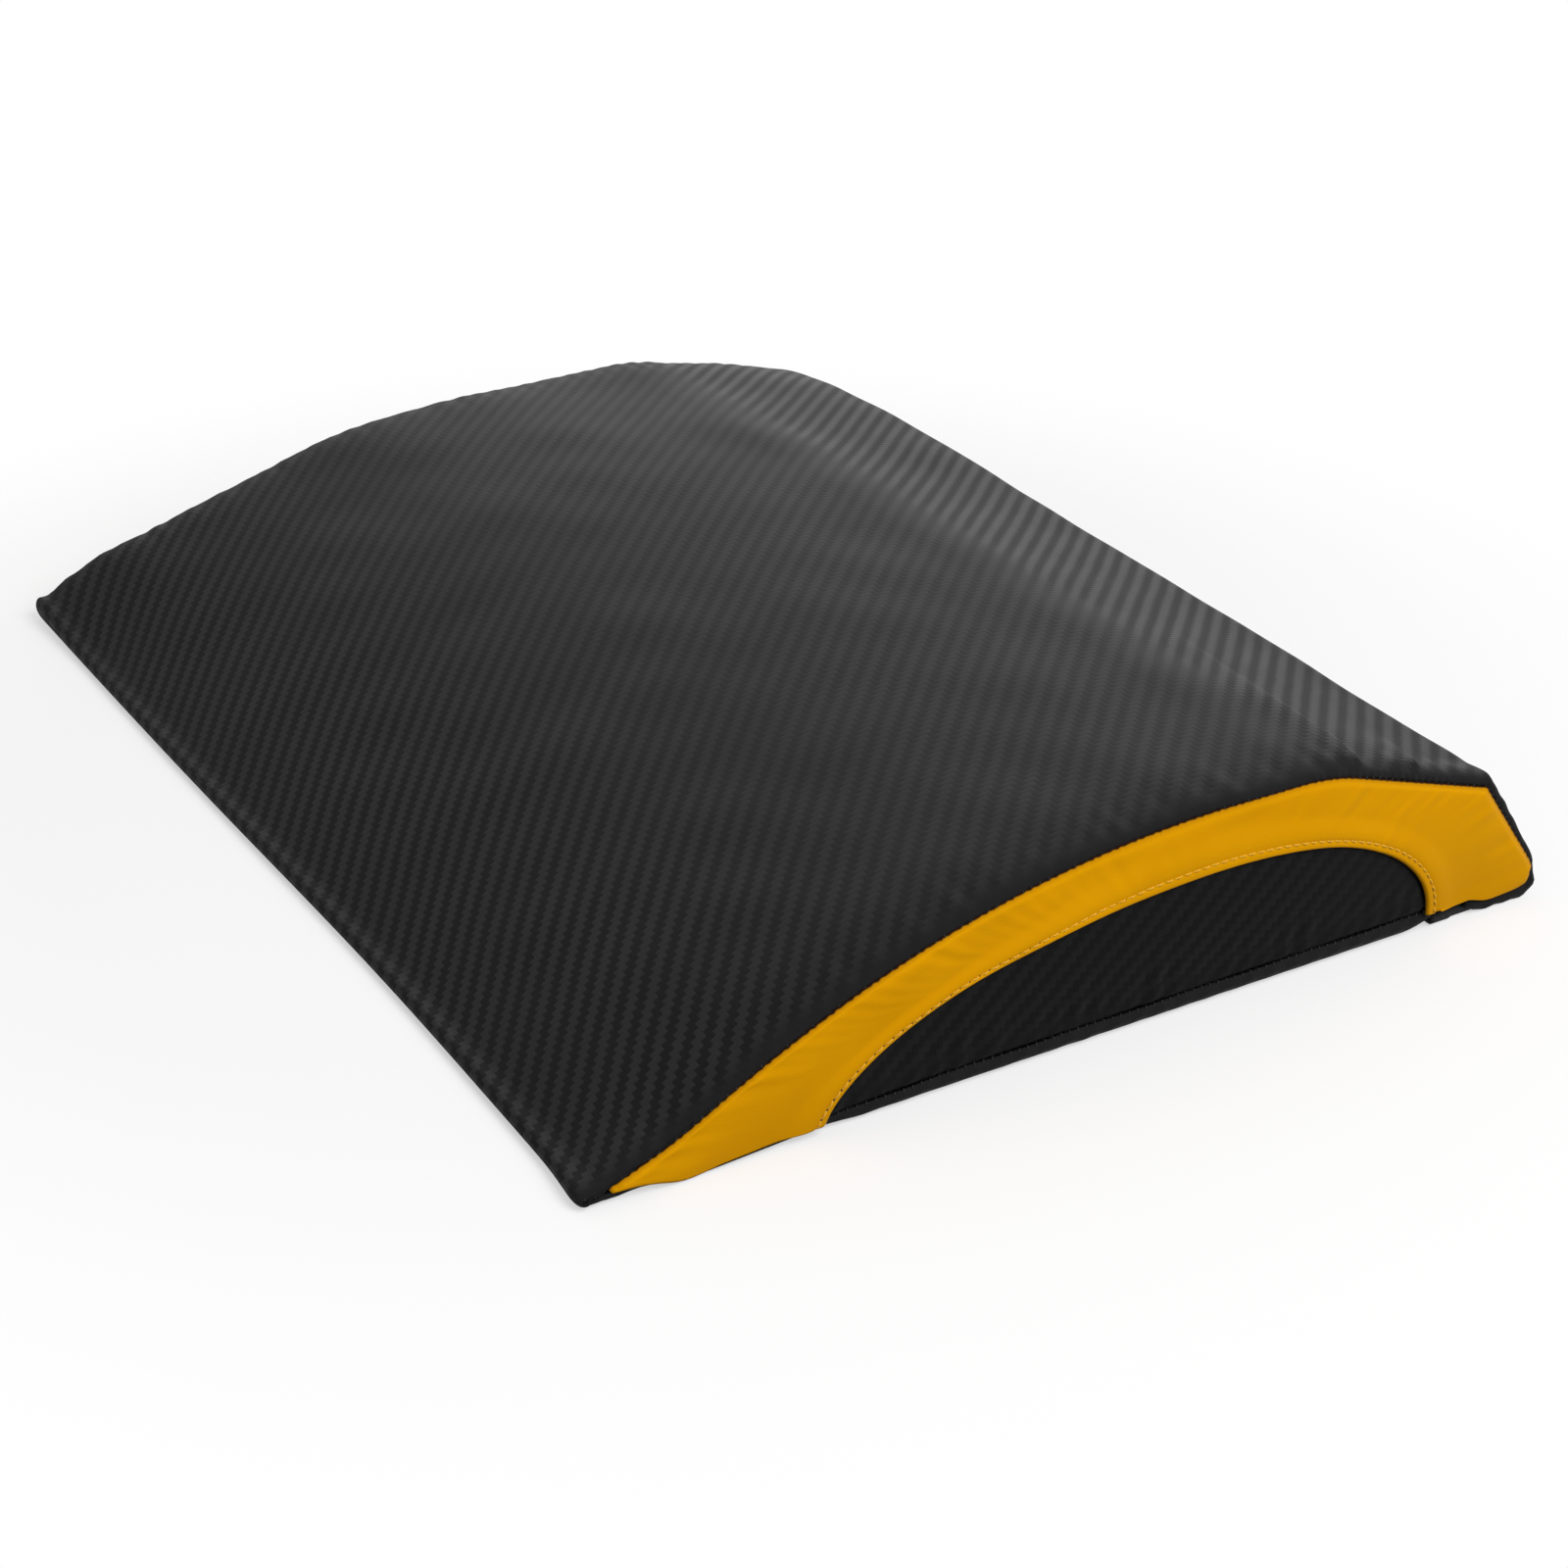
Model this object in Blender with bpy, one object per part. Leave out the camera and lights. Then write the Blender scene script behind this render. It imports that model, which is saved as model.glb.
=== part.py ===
"""Ab mat: a foam wedge in a sewn vinyl cover that zips shut across its underside.

Metres, +Z up. X runs from the thin front edge to the thick end and Y across the mat. The origin is
on the surface that the mat lies on, under the middle of the mat.
"""

import math
from dataclasses import dataclass

import bmesh
import bpy
from mathutils import Vector

# The middle profile, from the thin front edge to the thick end
ARCH_LENGTH = 0.190
PLATEAU_LENGTH = 0.031
BACK_LENGTH = 0.063
END_LENGTH = 0.021
EDGE_HEIGHT = 0.0055
EDGE_LAND = 0.008
CREST_HEIGHT = 0.0628
SHOULDER_DROP = 0.0165
FOOT_HEIGHT = 0.0125
FAIRING_RADIUS = 0.030
KINK_RADIUS = 0.040
SHOULDER_RADIUS = 0.007
HEEL_RADIUS = 0.008
FOOT_RADIUS = 0.006
LENGTH = ARCH_LENGTH + PLATEAU_LENGTH + BACK_LENGTH + END_LENGTH

# How far the cover stands proud of its side seams, and how far in from them it has risen in full
WIDTH = 0.380
SIDE_BULGE = 0.002
TOP_ROLL = 0.022
UNDER_ROLL = 0.008
FRONT_LIFT = 0.0016
TOP_LIFT = 0.0035
SHOULDER_LIFT = 0.0058
END_LIFT = 0.0034
UNDER_LIFT = 0.0046
LIP_LIFT = 0.0039

# Cover sheets
VINYL = 0.0012
FIT_GAP = 0.0003
LAYER = VINYL + FIT_GAP
SIDE_SEAM = WIDTH / 2 - SIDE_BULGE

# Side band and the half-moon insert under it
BAND_TIP = 0.009
BAND_FRONT_FOOT = 0.063
BAND_REAR_FOOT = 0.039
BAND_DEPTH = 0.0188
LAP = 0.007

# Zip: position, tapes and teeth
ZIP_INSET = 0.032
ZIP_WINDOW = 0.012
LIP_RISE = 0.003
LIP_RUN = 0.006
LIP_RADIUS = 0.012
TAPE_THICKNESS = 0.0006
TAPE_MARGIN = 0.005
CHAIN_THICKNESS = 0.0019
CHAIN_HALF = 0.0028
BEAD_WIDTH = 0.0011
LANE = 0.0011
TOOTH_PITCH = 0.003
TOOTH_NECK = 0.0011
TOOTH_HEAD = 0.0017
STOP_LENGTH = 0.0024
STOP_WALL = 0.0003

# Zip slider and its pull
PLATE = 0.0008
SLIDER_LENGTH = 0.011
SLIDER_SIDE_PLAY = 0.0007
FLANGE = 0.0009
SLIDER_CORNER = 0.0016
WEDGE_WIDTH = 0.0005
WEDGE_LENGTH = 0.0025
BRIDGE_WINDOW = 0.0016
BRIDGE_BAR = 0.0008
BRIDGE_WIDTH = 0.0022
BRIDGE_OPENING = 0.006
BRIDGE_LEG = 0.001
PULL_LENGTH = 0.022
PULL_WIDTH = 0.006
PULL_THICKNESS = 0.001
PULL_ARM = 0.0013
PULL_HOLE = 0.0052
PULL_TIP_CUT = 0.0012
RUN_PLAY = 0.0005

# Folded tape ends that close the zip's channel at the sides
TAB_FOLD = 0.009
TAB_LAYER = 0.0011

# Coarseness of the faceted shapes
SAME_PLACE = 0.00002
ARCH_STEPS = 12
LONGEST_STEP = 0.012
FILLET_STEPS = 4
ROLL_STEPS = 5
CORE_ROLL_STEPS = 3
MOON_STEPS = 120
BAND_ROWS = 6
INSERT_STEPS = 32
INSERT_ROWS = 8
CORNER_STEPS = 4

# Half-moon outline: how square its front and rear quarters are, and its hidden ends in degrees
FRONT_CURVE = 1.72
REAR_CURVE = 2.3
INSERT_END_ANGLE = 9

FRONT_X = -LENGTH / 2
END_X = LENGTH / 2
ZIP_X = END_X - ZIP_INSET
TAPE_Z = LIP_RISE + LAYER + TAPE_THICKNESS / 2
TAPE_END_Y = SIDE_SEAM - TAB_FOLD - FIT_GAP
TAPE_HALF = ZIP_WINDOW / 2 + TAPE_MARGIN
SLIDER_CHANNEL = CHAIN_HALF + SLIDER_SIDE_PLAY
SLIDER_HALF_WIDTH = SLIDER_CHANNEL + FLANGE
SLIDER_GAP_HALF = CHAIN_THICKNESS / 2 + FIT_GAP
SLIDER_END_Y = TAPE_END_Y - RUN_PLAY - PULL_LENGTH
STOP_Y = SLIDER_END_Y + SLIDER_LENGTH / 2 + FIT_GAP + STOP_LENGTH / 2


@dataclass
class Corner:
    """A corner of the middle profile: place, fillet, and the cover's lift and roll there."""

    x: float
    z: float
    radius: float
    lift: float
    roll: float


@dataclass
class Station:
    """A point of the middle profile, with the cover's lift over the side seam and its roll."""

    x: float
    z: float
    lift: float
    roll: float


MATERIALS = {
    "foam": ((0.16, 0.16, 0.17), 0.95, 0.0),
    "carbon_vinyl": ((0.022, 0.022, 0.023), 0.45, 0.0),
    "base_vinyl": ((0.02, 0.02, 0.021), 0.6, 0.0),
    "yellow_vinyl": ((0.74, 0.36, 0.01), 0.42, 0.0),
    "zip_tape": ((0.015, 0.015, 0.016), 0.85, 0.0),
    "zip_teeth": ((0.018, 0.018, 0.018), 0.35, 0.0),
    "zip_metal": ((0.05, 0.05, 0.052), 0.3, 0.9),
}


def clear_scene():
    """Empty the scene without closing the file."""
    for item in list(bpy.data.objects):
        bpy.data.objects.remove(item, do_unlink=True)


def material(name):
    """Return the Principled material of that name, made once."""
    found = bpy.data.materials.get(name)
    if found:
        return found
    colour, roughness, metallic = MATERIALS[name]
    made = bpy.data.materials.new(name)
    made.use_nodes = True
    shader = made.node_tree.nodes["Principled BSDF"]
    shader.inputs["Base Color"].default_value = (*colour, 1.0)
    shader.inputs["Roughness"].default_value = roughness
    shader.inputs["Metallic"].default_value = metallic
    return made


def add_object(name, shape, finish, smooth_angle=0.6):
    """Turn a bmesh into a named object with its normals outwards."""
    bmesh.ops.recalc_face_normals(shape, faces=shape.faces)
    if shape.calc_volume(signed=True) < 0:
        bmesh.ops.reverse_faces(shape, faces=shape.faces)
    mesh = bpy.data.meshes.new(name)
    shape.to_mesh(mesh)
    shape.free()
    mesh.shade_smooth()
    mesh.set_sharp_from_angle(angle=smooth_angle)
    mesh.materials.append(material(finish))
    item = bpy.data.objects.new(name, mesh)
    bpy.context.collection.objects.link(item)
    return item


# Profile of the mat


def fillet(before, corner, after):
    """Return the stations of the round at one corner, limited by its two sides."""
    here = Vector((corner.x, corner.z))
    back = Vector((before.x, before.z)) - here
    ahead = Vector((after.x, after.z)) - here
    half_angle = back.angle(ahead) / 2
    room = [side.length / (2 if near.radius else 1) for side, near in ((back, before), (ahead, after))]
    reach = min(corner.radius / math.tan(half_angle), *room)
    radius = reach * math.tan(half_angle)
    centre = here + (back.normalized() + ahead.normalized()).normalized() * (radius / math.sin(half_angle))
    first = here + back.normalized() * reach - centre
    last = here + ahead.normalized() * reach - centre
    stations = []
    for step in range(FILLET_STEPS + 1):
        point = centre + first.slerp(last, step / FILLET_STEPS).normalized() * radius
        stations.append(Station(point.x, point.y, corner.lift, corner.roll))
    return stations


def round_corners(corners):
    """Return the stations along a row of corners, each with its fillet."""
    stations = [Station(corners[0].x, corners[0].z, corners[0].lift, corners[0].roll)]
    for before, corner, after in zip(corners, corners[1:], corners[2:]):
        if corner.radius:
            stations += fillet(before, corner, after)
        else:
            stations.append(Station(corner.x, corner.z, corner.lift, corner.roll))
    last = corners[-1]
    stations.append(Station(last.x, last.z, last.lift, last.roll))
    return space_out(stations)


def space_out(stations):
    """Return the stations without doubles at full fillets, and with more along the long runs."""
    kept = stations[:1]
    for here in stations[1:]:
        last = kept[-1]
        length = math.hypot(here.x - last.x, here.z - last.z)
        if length < SAME_PLACE:
            continue
        steps = math.ceil(length / LONGEST_STEP)
        for step in range(1, steps + 1):
            kept.append(between(last, here, step / steps))
    return kept


def between(first, second, share):
    """Return the station a share of the way from one to the next."""
    values = [getattr(first, name) + (getattr(second, name) - getattr(first, name)) * share
              for name in ("x", "z", "lift", "roll")]
    return Station(*values)


def arch_corners():
    """Return the arch: a circle that is level at the crest and meets the front land."""
    rise = CREST_HEIGHT - EDGE_HEIGHT
    run = ARCH_LENGTH - EDGE_LAND
    radius = (run ** 2 + rise ** 2) / (2 * rise)
    full_angle = math.asin(run / radius)
    crest_x = FRONT_X + ARCH_LENGTH
    corners = []
    for step in range(1, ARCH_STEPS + 1):
        angle = full_angle * (1 - step / ARCH_STEPS)
        x = crest_x - radius * math.sin(angle)
        z = CREST_HEIGHT - radius * (1 - math.cos(angle))
        share = min(1.0, 3 * step / ARCH_STEPS)
        lift = FRONT_LIFT + (TOP_LIFT - FRONT_LIFT) * share
        roll = UNDER_ROLL + (TOP_ROLL - UNDER_ROLL) * share
        corners.append(Corner(x, z, 0, lift, roll))
    return corners


def top_profile():
    """Return the top panel's stations, from the front seam over the arch to the zip's rear lip."""
    nose = EDGE_HEIGHT / 2
    kink_x = FRONT_X + ARCH_LENGTH + PLATEAU_LENGTH
    shoulder_x = kink_x + BACK_LENGTH
    shoulder_z = CREST_HEIGHT - SHOULDER_DROP
    lip_x = ZIP_X + ZIP_WINDOW / 2
    lip_lift = UNDER_LIFT - LIP_RISE
    corners = [
        Corner(FRONT_X, nose, 0, FRONT_LIFT, UNDER_ROLL),
        Corner(FRONT_X, EDGE_HEIGHT, nose, FRONT_LIFT, UNDER_ROLL),
        Corner(FRONT_X + EDGE_LAND, EDGE_HEIGHT, FAIRING_RADIUS, FRONT_LIFT, UNDER_ROLL),
        *arch_corners(),
        Corner(kink_x, CREST_HEIGHT, KINK_RADIUS, TOP_LIFT, TOP_ROLL),
        Corner(shoulder_x, shoulder_z, SHOULDER_RADIUS, SHOULDER_LIFT, TOP_ROLL),
        Corner(END_X, FOOT_HEIGHT, HEEL_RADIUS, END_LIFT, TOP_ROLL),
        Corner(END_X, 0, FOOT_RADIUS, UNDER_LIFT, UNDER_ROLL),
        Corner(lip_x + LIP_RUN, 0, LIP_RADIUS, LIP_LIFT, UNDER_ROLL),
        Corner(lip_x, LIP_RISE, 0, lip_lift, UNDER_ROLL),
    ]
    return round_corners(corners)


def bottom_profile():
    """Return the bottom panel's stations, from the zip's front lip to the front seam."""
    nose = EDGE_HEIGHT / 2
    lip_x = ZIP_X - ZIP_WINDOW / 2
    lip_lift = UNDER_LIFT - LIP_RISE
    middle_lift = (UNDER_LIFT + FRONT_LIFT) / 2
    corners = [
        Corner(lip_x, LIP_RISE, 0, lip_lift, UNDER_ROLL),
        Corner(lip_x - LIP_RUN, 0, LIP_RADIUS, LIP_LIFT, UNDER_ROLL),
        Corner(FRONT_X + ARCH_LENGTH / 2, 0, 0, middle_lift, UNDER_ROLL),
        Corner(FRONT_X, 0, nose, FRONT_LIFT, UNDER_ROLL),
        Corner(FRONT_X, nose - FIT_GAP, 0, FRONT_LIFT, UNDER_ROLL),
    ]
    return round_corners(corners)


def mitres(stations):
    """Return the outward offset direction at each station of a closed profile."""
    count = len(stations)
    directions = []
    for index, here in enumerate(stations):
        before = stations[index - 1]
        after = stations[(index + 1) % count]
        first = Vector((here.x - before.x, here.z - before.z)).normalized()
        second = Vector((after.x - here.x, after.z - here.z)).normalized()
        total = Vector((-first.y - second.y, first.x + second.x))
        directions.append(total / (1 + first.dot(second)))
    return directions


@dataclass
class Profile:
    """The closed middle profile of the mat with its offset directions."""

    top: list
    bottom: list

    def __post_init__(self):
        self.stations = self.top + self.bottom
        self.directions = mitres(self.stations)

    def offset(self, index, distance):
        """Return the x and z of one station moved outwards."""
        here = self.stations[index]
        way = self.directions[index]
        return Vector((here.x + way.x * distance, here.z + way.y * distance))

    def seam(self, index, inset=0.0):
        """Return the x and z of the side seam at one station, set in by a gap."""
        return self.offset(index, -self.stations[index].lift - inset)

    def seam_loop(self, inset):
        """Return the side seam all round the mat, set in by a gap."""
        return [self.seam(index, inset) for index in range(len(self.stations))]


PROFILE = Profile(top_profile(), bottom_profile())


def roll_rows(steps):
    """Return (side, angle) rows from the near side seam across the mat to the far one."""
    angles = [math.pi / 2 * step / steps for step in range(steps + 1)]
    near = [(-1, angle) for angle in angles]
    far = [(1, angle) for angle in reversed(angles)]
    return near + [(0, math.pi / 2)] + far


def cover_point(index, side, angle, inset, depth):
    """Return a point of a rolled surface: inset from the side seam's plane, depth under the crown."""
    here = PROFILE.stations[index]
    spot = PROFILE.offset(index, (here.lift - depth) * math.sin(angle) - here.lift)
    reach = inset + (here.roll - inset) * (1 - math.cos(angle))
    return Vector((spot.x, side * (SIDE_SEAM - reach), spot.y))


def cover_grid(indices, steps, inset, depth):
    """Return a rolled surface as rows of points, one row at each step from side to side."""
    return [[cover_point(index, side, angle, inset, depth) for index in indices]
            for side, angle in roll_rows(steps)]


def join_grids(outer, inner):
    """Return the closed bmesh between two grids of the same size."""
    shape = bmesh.new()
    sheets = [[[shape.verts.new(point) for point in row] for row in grid] for grid in (outer, inner)]
    rows = len(outer)
    count = len(outer[0])
    for r in range(rows - 1):
        for i in range(count - 1):
            for sheet in sheets:
                shape.faces.new((sheet[r][i], sheet[r][i + 1], sheet[r + 1][i + 1], sheet[r + 1][i]))
    top, under = sheets
    rim = [(0, i) for i in range(count - 1)] + [(r, count - 1) for r in range(rows - 1)]
    rim += [(rows - 1, i) for i in range(count - 1, 0, -1)] + [(r, 0) for r in range(rows - 1, 0, -1)]
    for (r, i), (r2, i2) in zip(rim, rim[1:] + rim[:1]):
        shape.faces.new((top[r][i], top[r2][i2], under[r2][i2], under[r][i]))
    return shape


def cover_panel(name, indices, finish):
    """Make one cover sheet that runs right across the mat and rolls down to both side seams."""
    outer = cover_grid(indices, ROLL_STEPS, 0.0, 0.0)
    inner = cover_grid(indices, ROLL_STEPS, VINYL, VINYL)
    return add_object(name, join_grids(outer, inner), finish)


# Foam core


def core_groove():
    """Return the groove that the foam leaves for the zip, from its rear wall to its front wall."""
    mouth = ZIP_WINDOW / 2 + LIP_RUN
    tape_roof = TAPE_Z + TAPE_THICKNESS / 2 + FIT_GAP
    slider_roof = TAPE_Z + SLIDER_GAP_HALF + PLATE + FIT_GAP
    slot = SLIDER_HALF_WIDTH + FIT_GAP
    rear = [(mouth, tape_roof), (slot, tape_roof), (slot, slider_roof)]
    front = [(-across, z) for across, z in reversed(rear)]
    return [(ZIP_X + across, z) for across, z in rear + front]


def core_indices():
    """Return the profile stations that the core keeps: all but the two rolled zip lips."""
    limit = ZIP_WINDOW / 2 + LIP_RUN
    ends = len(PROFILE.top)
    rear = [i for i in range(ends) if PROFILE.stations[i].x > ZIP_X + limit or i < ends // 2]
    front = [i for i in range(ends, len(PROFILE.stations)) if PROFILE.stations[i].x < ZIP_X - limit]
    return rear, front


def make_core():
    """Make the foam block: the cover's form set in by one sheet, with the zip's groove under it."""
    rear, front = core_indices()
    grid = cover_grid(rear + front, CORE_ROLL_STEPS, 2 * LAYER, LAYER)
    groove = core_groove()
    shape = bmesh.new()
    loops = []
    for row in grid:
        cut = [Vector((x, row[len(rear) - 1].y, z)) for x, z in groove]
        loop = row[:len(rear)] + wall_points(row, rear, cut) + row[len(rear):]
        loops.append([shape.verts.new(point) for point in loop])
    for first, second in zip(loops, loops[1:]):
        for index in range(len(first)):
            after = (index + 1) % len(first)
            shape.faces.new((first[index], first[after], second[after], second[index]))
    shape.faces.new(loops[0])
    shape.faces.new(loops[-1])
    return add_object("foam_core", shape, "foam")


def wall_points(points, rear, cut):
    """Return the groove's points with the foot of its two walls at the core's underside."""
    behind = points[len(rear) - 1]
    ahead = points[len(rear)]
    foot = Vector((cut[0].x, behind.y, behind.z))
    other = Vector((cut[-1].x, ahead.y, ahead.z))
    return [foot, *cut, other]


# Side band and insert


def shares_along(points):
    """Return each point's share of the length of a line of points."""
    travelled = [0.0]
    for first, second in zip(points, points[1:]):
        travelled.append(travelled[-1] + (second - first).length)
    return [length / travelled[-1] for length in travelled]


def resample(points, shares):
    """Return the points at given shares of the length of a line of points."""
    known = shares_along(points)
    spaced = []
    index = 0
    for share in shares:
        while index < len(points) - 2 and known[index + 1] < share:
            index += 1
        part = (share - known[index]) / (known[index + 1] - known[index])
        spaced.append(points[index].lerp(points[index + 1], part))
    return spaced


def height_at(points, x):
    """Return the height of a line of points at one x."""
    for first, second in zip(points, points[1:]):
        low, high = sorted((first.x, second.x))
        if low <= x <= high and high > low:
            return first.y + (second.y - first.y) * (x - first.x) / (second.x - first.x)
    nearest = min(points, key=lambda point: abs(point.x - x))
    return nearest.y


def seam_lines():
    """Return the side seam's upper line from the tip to the heel, and its lower line back."""
    loop = PROFILE.seam_loop(FIT_GAP)
    heel = len(PROFILE.top) - 2 * (FILLET_STEPS + 1)
    upper = [point for point in loop[:heel] if point.x > FRONT_X + BAND_TIP]
    tip = Vector((FRONT_X + BAND_TIP, height_at(loop[:heel], FRONT_X + BAND_TIP)))
    lower = loop[heel - 1:]
    return [tip, *upper], lower


def moon_point(angle, grow):
    """Return a point of the half-moon outline: 0 at its front foot, pi at its rear foot."""
    crest = CREST_HEIGHT - TOP_LIFT - BAND_DEPTH
    apex_x = FRONT_X + ARCH_LENGTH
    front = angle < math.pi / 2
    reach = apex_x - FRONT_X - BAND_FRONT_FOOT if front else END_X - BAND_REAR_FOOT - apex_x
    power = FRONT_CURVE if front else REAR_CURVE
    across = abs(math.cos(angle)) ** (2 / power)
    up = math.sin(angle) ** (2 / power)
    way = -1 if front else 1
    return Vector((apex_x + way * across * (reach + grow), up * (crest + grow)))


def moon_line(first, last, steps, grow, lower):
    """Return the half-moon outline between two angles, kept above the bottom seam."""
    line = []
    for step in range(steps + 1):
        point = moon_point(first + (last - first) * step / steps, grow)
        point.y = max(point.y, height_at(lower, point.x))
        line.append(point)
    return line


def bulge(point, upper, lower):
    """Return how far the side panel stands out at a point of the side plane."""
    low = height_at(lower, point.x)
    high = height_at(upper, point.x)
    share = min(1.0, max(0.0, (point.y - low) / max(high - low, FIT_GAP)))
    fullness_share = min(1.0, max(0.0, high - low) / (CREST_HEIGHT - TOP_LIFT - UNDER_LIFT))
    return SIDE_BULGE * fullness_share * 4 * share * (1 - share)


def side_panel(name, grid, side, depth, finish):
    """Make a side sheet from a grid in the side plane, a depth behind the outermost layer."""
    upper, lower = seam_lines()
    outer = []
    inner = []
    for row in grid:
        spots = [(point, SIDE_SEAM + bulge(point, upper, lower) - depth) for point in row]
        outer.append([Vector((point.x, side * y, point.y)) for point, y in spots])
        inner.append([Vector((point.x, side * (y - VINYL), point.y)) for point, y in spots])
    return add_object(name, join_grids(outer, inner), finish)


def band_grid():
    """Return the crescent between the half-moon and the side seam as a Coons patch."""
    outer, lower = seam_lines()
    shares = shares_along(outer)
    inner = resample(moon_line(0, math.pi, MOON_STEPS, 0.0, lower), shares)
    feet = []
    for first, last in ((inner[0], outer[0]), (inner[-1], outer[-1])):
        line = [first.lerp(last, row / BAND_ROWS) for row in range(BAND_ROWS + 1)]
        for point in line[1:-1]:
            point.y = height_at(lower, point.x)
        feet.append(line)
    grid = []
    for row in range(BAND_ROWS + 1):
        across = row / BAND_ROWS
        ends = inner[0].lerp(outer[0], across), inner[-1].lerp(outer[-1], across)
        line = []
        for along, start, end in zip(shares, inner, outer):
            ruled = start.lerp(end, across) + feet[0][row].lerp(feet[1][row], along)
            line.append(ruled - ends[0].lerp(ends[1], along))
        grid.append(line)
    return grid


def insert_grid():
    """Return the half-moon with its lap allowance, from the bottom seam up."""
    lower = seam_lines()[1]
    end = math.radians(INSERT_END_ANGLE)
    outline = moon_line(end, math.pi - end, INSERT_STEPS, LAP, lower)
    grid = []
    for row in range(INSERT_ROWS + 1):
        share = row / INSERT_ROWS
        line = []
        for point in outline:
            low = height_at(lower, point.x)
            line.append(Vector((point.x, low + (point.y - low) * share)))
        grid.append(line)
    return grid


# Zip


def box(low, high):
    """Return the bmesh of a box between two corners."""
    shape = bmesh.new()
    bmesh.ops.create_cube(shape, size=1)
    for vert in shape.verts:
        spot = zip(vert.co, low, high)
        vert.co = Vector([start if share < 0 else end for share, start, end in spot])
    return shape


def extrude(outline, low, high, place):
    """Return the closed bmesh of a flat outline pushed from low to high, placed by a function."""
    shape = bmesh.new()
    base = [shape.verts.new(place(a, b, low)) for a, b in outline]
    lid = [shape.verts.new(place(a, b, high)) for a, b in outline]
    shape.faces.new(base)
    shape.faces.new(lid)
    for index in range(len(base)):
        after = (index + 1) % len(base)
        shape.faces.new((base[index], base[after], lid[after], lid[index]))
    return shape


def lying(across, along, height):
    """Place an extruded outline flat on the ground plane."""
    return Vector((across, along, height))


def make_tape(name, side):
    """Make one zip tape: a flat strip from the teeth's bead to under the cover's sewn edge."""
    inner = side * (CHAIN_HALF + FIT_GAP)
    outer = side * TAPE_HALF
    low = (ZIP_X + min(inner, outer), -TAPE_END_Y, TAPE_Z - TAPE_THICKNESS / 2)
    high = (ZIP_X + max(inner, outer), TAPE_END_Y, TAPE_Z + TAPE_THICKNESS / 2)
    return add_object(name, box(low, high), "zip_tape")


def tooth_cells(side):
    """Return the y spans of one row's teeth; the two rows are staggered by half a pitch."""
    reach = STOP_Y - STOP_LENGTH / 2 - FIT_GAP
    room = 2 * reach - TOOTH_PITCH
    count = int(room / TOOTH_PITCH)
    start = -count * TOOTH_PITCH / 2 + side * TOOTH_PITCH / 4
    return [start + TOOTH_PITCH * index for index in range(count + 1)], reach


def make_teeth(name, side):
    """Make one row of teeth on its bead: a comb whose heads are wider than their necks."""
    centres, reach = tooth_cells(side)
    bead_edge = CHAIN_HALF - BEAD_WIDTH
    shape = bmesh.new()
    low = TAPE_Z - CHAIN_THICKNESS / 2

    def vert(across, y):
        return shape.verts.new((ZIP_X + side * across, y, low))

    ends = [(-reach, vert(CHAIN_HALF, -reach), vert(bead_edge, -reach))]
    for centre in centres:
        for way in (-1, 1):
            y = centre + way * TOOTH_NECK / 2
            ends.append((y, vert(CHAIN_HALF, y), vert(bead_edge, y)))
    ends.append((reach, vert(CHAIN_HALF, reach), vert(bead_edge, reach)))
    flat = []
    for (_, a, b), (_, c, d) in zip(ends, ends[1:]):
        flat.append(shape.faces.new((a, b, d, c)))
    for index, centre in enumerate(centres):
        first = ends[2 * index + 1][2]
        second = ends[2 * index + 2][2]
        head = [vert(LANE / 2, centre + way * TOOTH_HEAD / 2) for way in (-1, 1)]
        flat.append(shape.faces.new((first, head[0], head[1], second)))
    bmesh.ops.recalc_face_normals(shape, faces=shape.faces)
    lifted = bmesh.ops.extrude_face_region(shape, geom=flat, use_keep_orig=True)
    moved = [item for item in lifted["geom"] if isinstance(item, bmesh.types.BMVert)]
    bmesh.ops.translate(shape, verts=moved, vec=(0, 0, CHAIN_THICKNESS))
    return add_object(name, shape, "zip_teeth", smooth_angle=0.3)


def make_stop(name, inner, outer, y):
    """Make one end stop, pressed round the rows' ends."""
    half = CHAIN_THICKNESS / 2 + STOP_WALL
    low = (ZIP_X + inner, y - STOP_LENGTH / 2, TAPE_Z - half)
    high = (ZIP_X + outer, y + STOP_LENGTH / 2, TAPE_Z + half)
    shape = box(low, high)
    edges = [edge for edge in shape.edges if abs(edge.verts[0].co.y - edge.verts[1].co.y) > STOP_WALL]
    bmesh.ops.bevel(shape, geom=edges, offset=STOP_WALL, segments=2, affect="EDGES", profile=0.5)
    return add_object(name, shape, "zip_metal")


def rounded_rectangle(half_x, half_y, radius):
    """Return the outline of a rectangle with round corners, centred on zero."""
    outline = []
    for turn, (sx, sy) in enumerate(((1, 1), (-1, 1), (-1, -1), (1, -1))):
        for step in range(CORNER_STEPS + 1):
            angle = math.pi / 2 * (turn + step / CORNER_STEPS)
            x = sx * (half_x - radius) + radius * math.cos(angle)
            y = sy * (half_y - radius) + radius * math.sin(angle)
            outline.append((x, y))
    return outline


def join_shapes(target, others):
    """Union other objects into one and take them away."""
    for index, other in enumerate(others):
        union = target.modifiers.new(f"join_{index}", "BOOLEAN")
        union.operation = "UNION"
        union.solver = "EXACT"
        union.object = other
        other.hide_render = True
        other.display_type = "WIRE"
    bpy.context.view_layer.update()
    joined = bpy.data.meshes.new_from_object(target.evaluated_get(bpy.context.evaluated_depsgraph_get()))
    target.modifiers.clear()
    target.data = joined
    for other in others:
        bpy.data.objects.remove(other, do_unlink=True)
    return target


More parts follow.
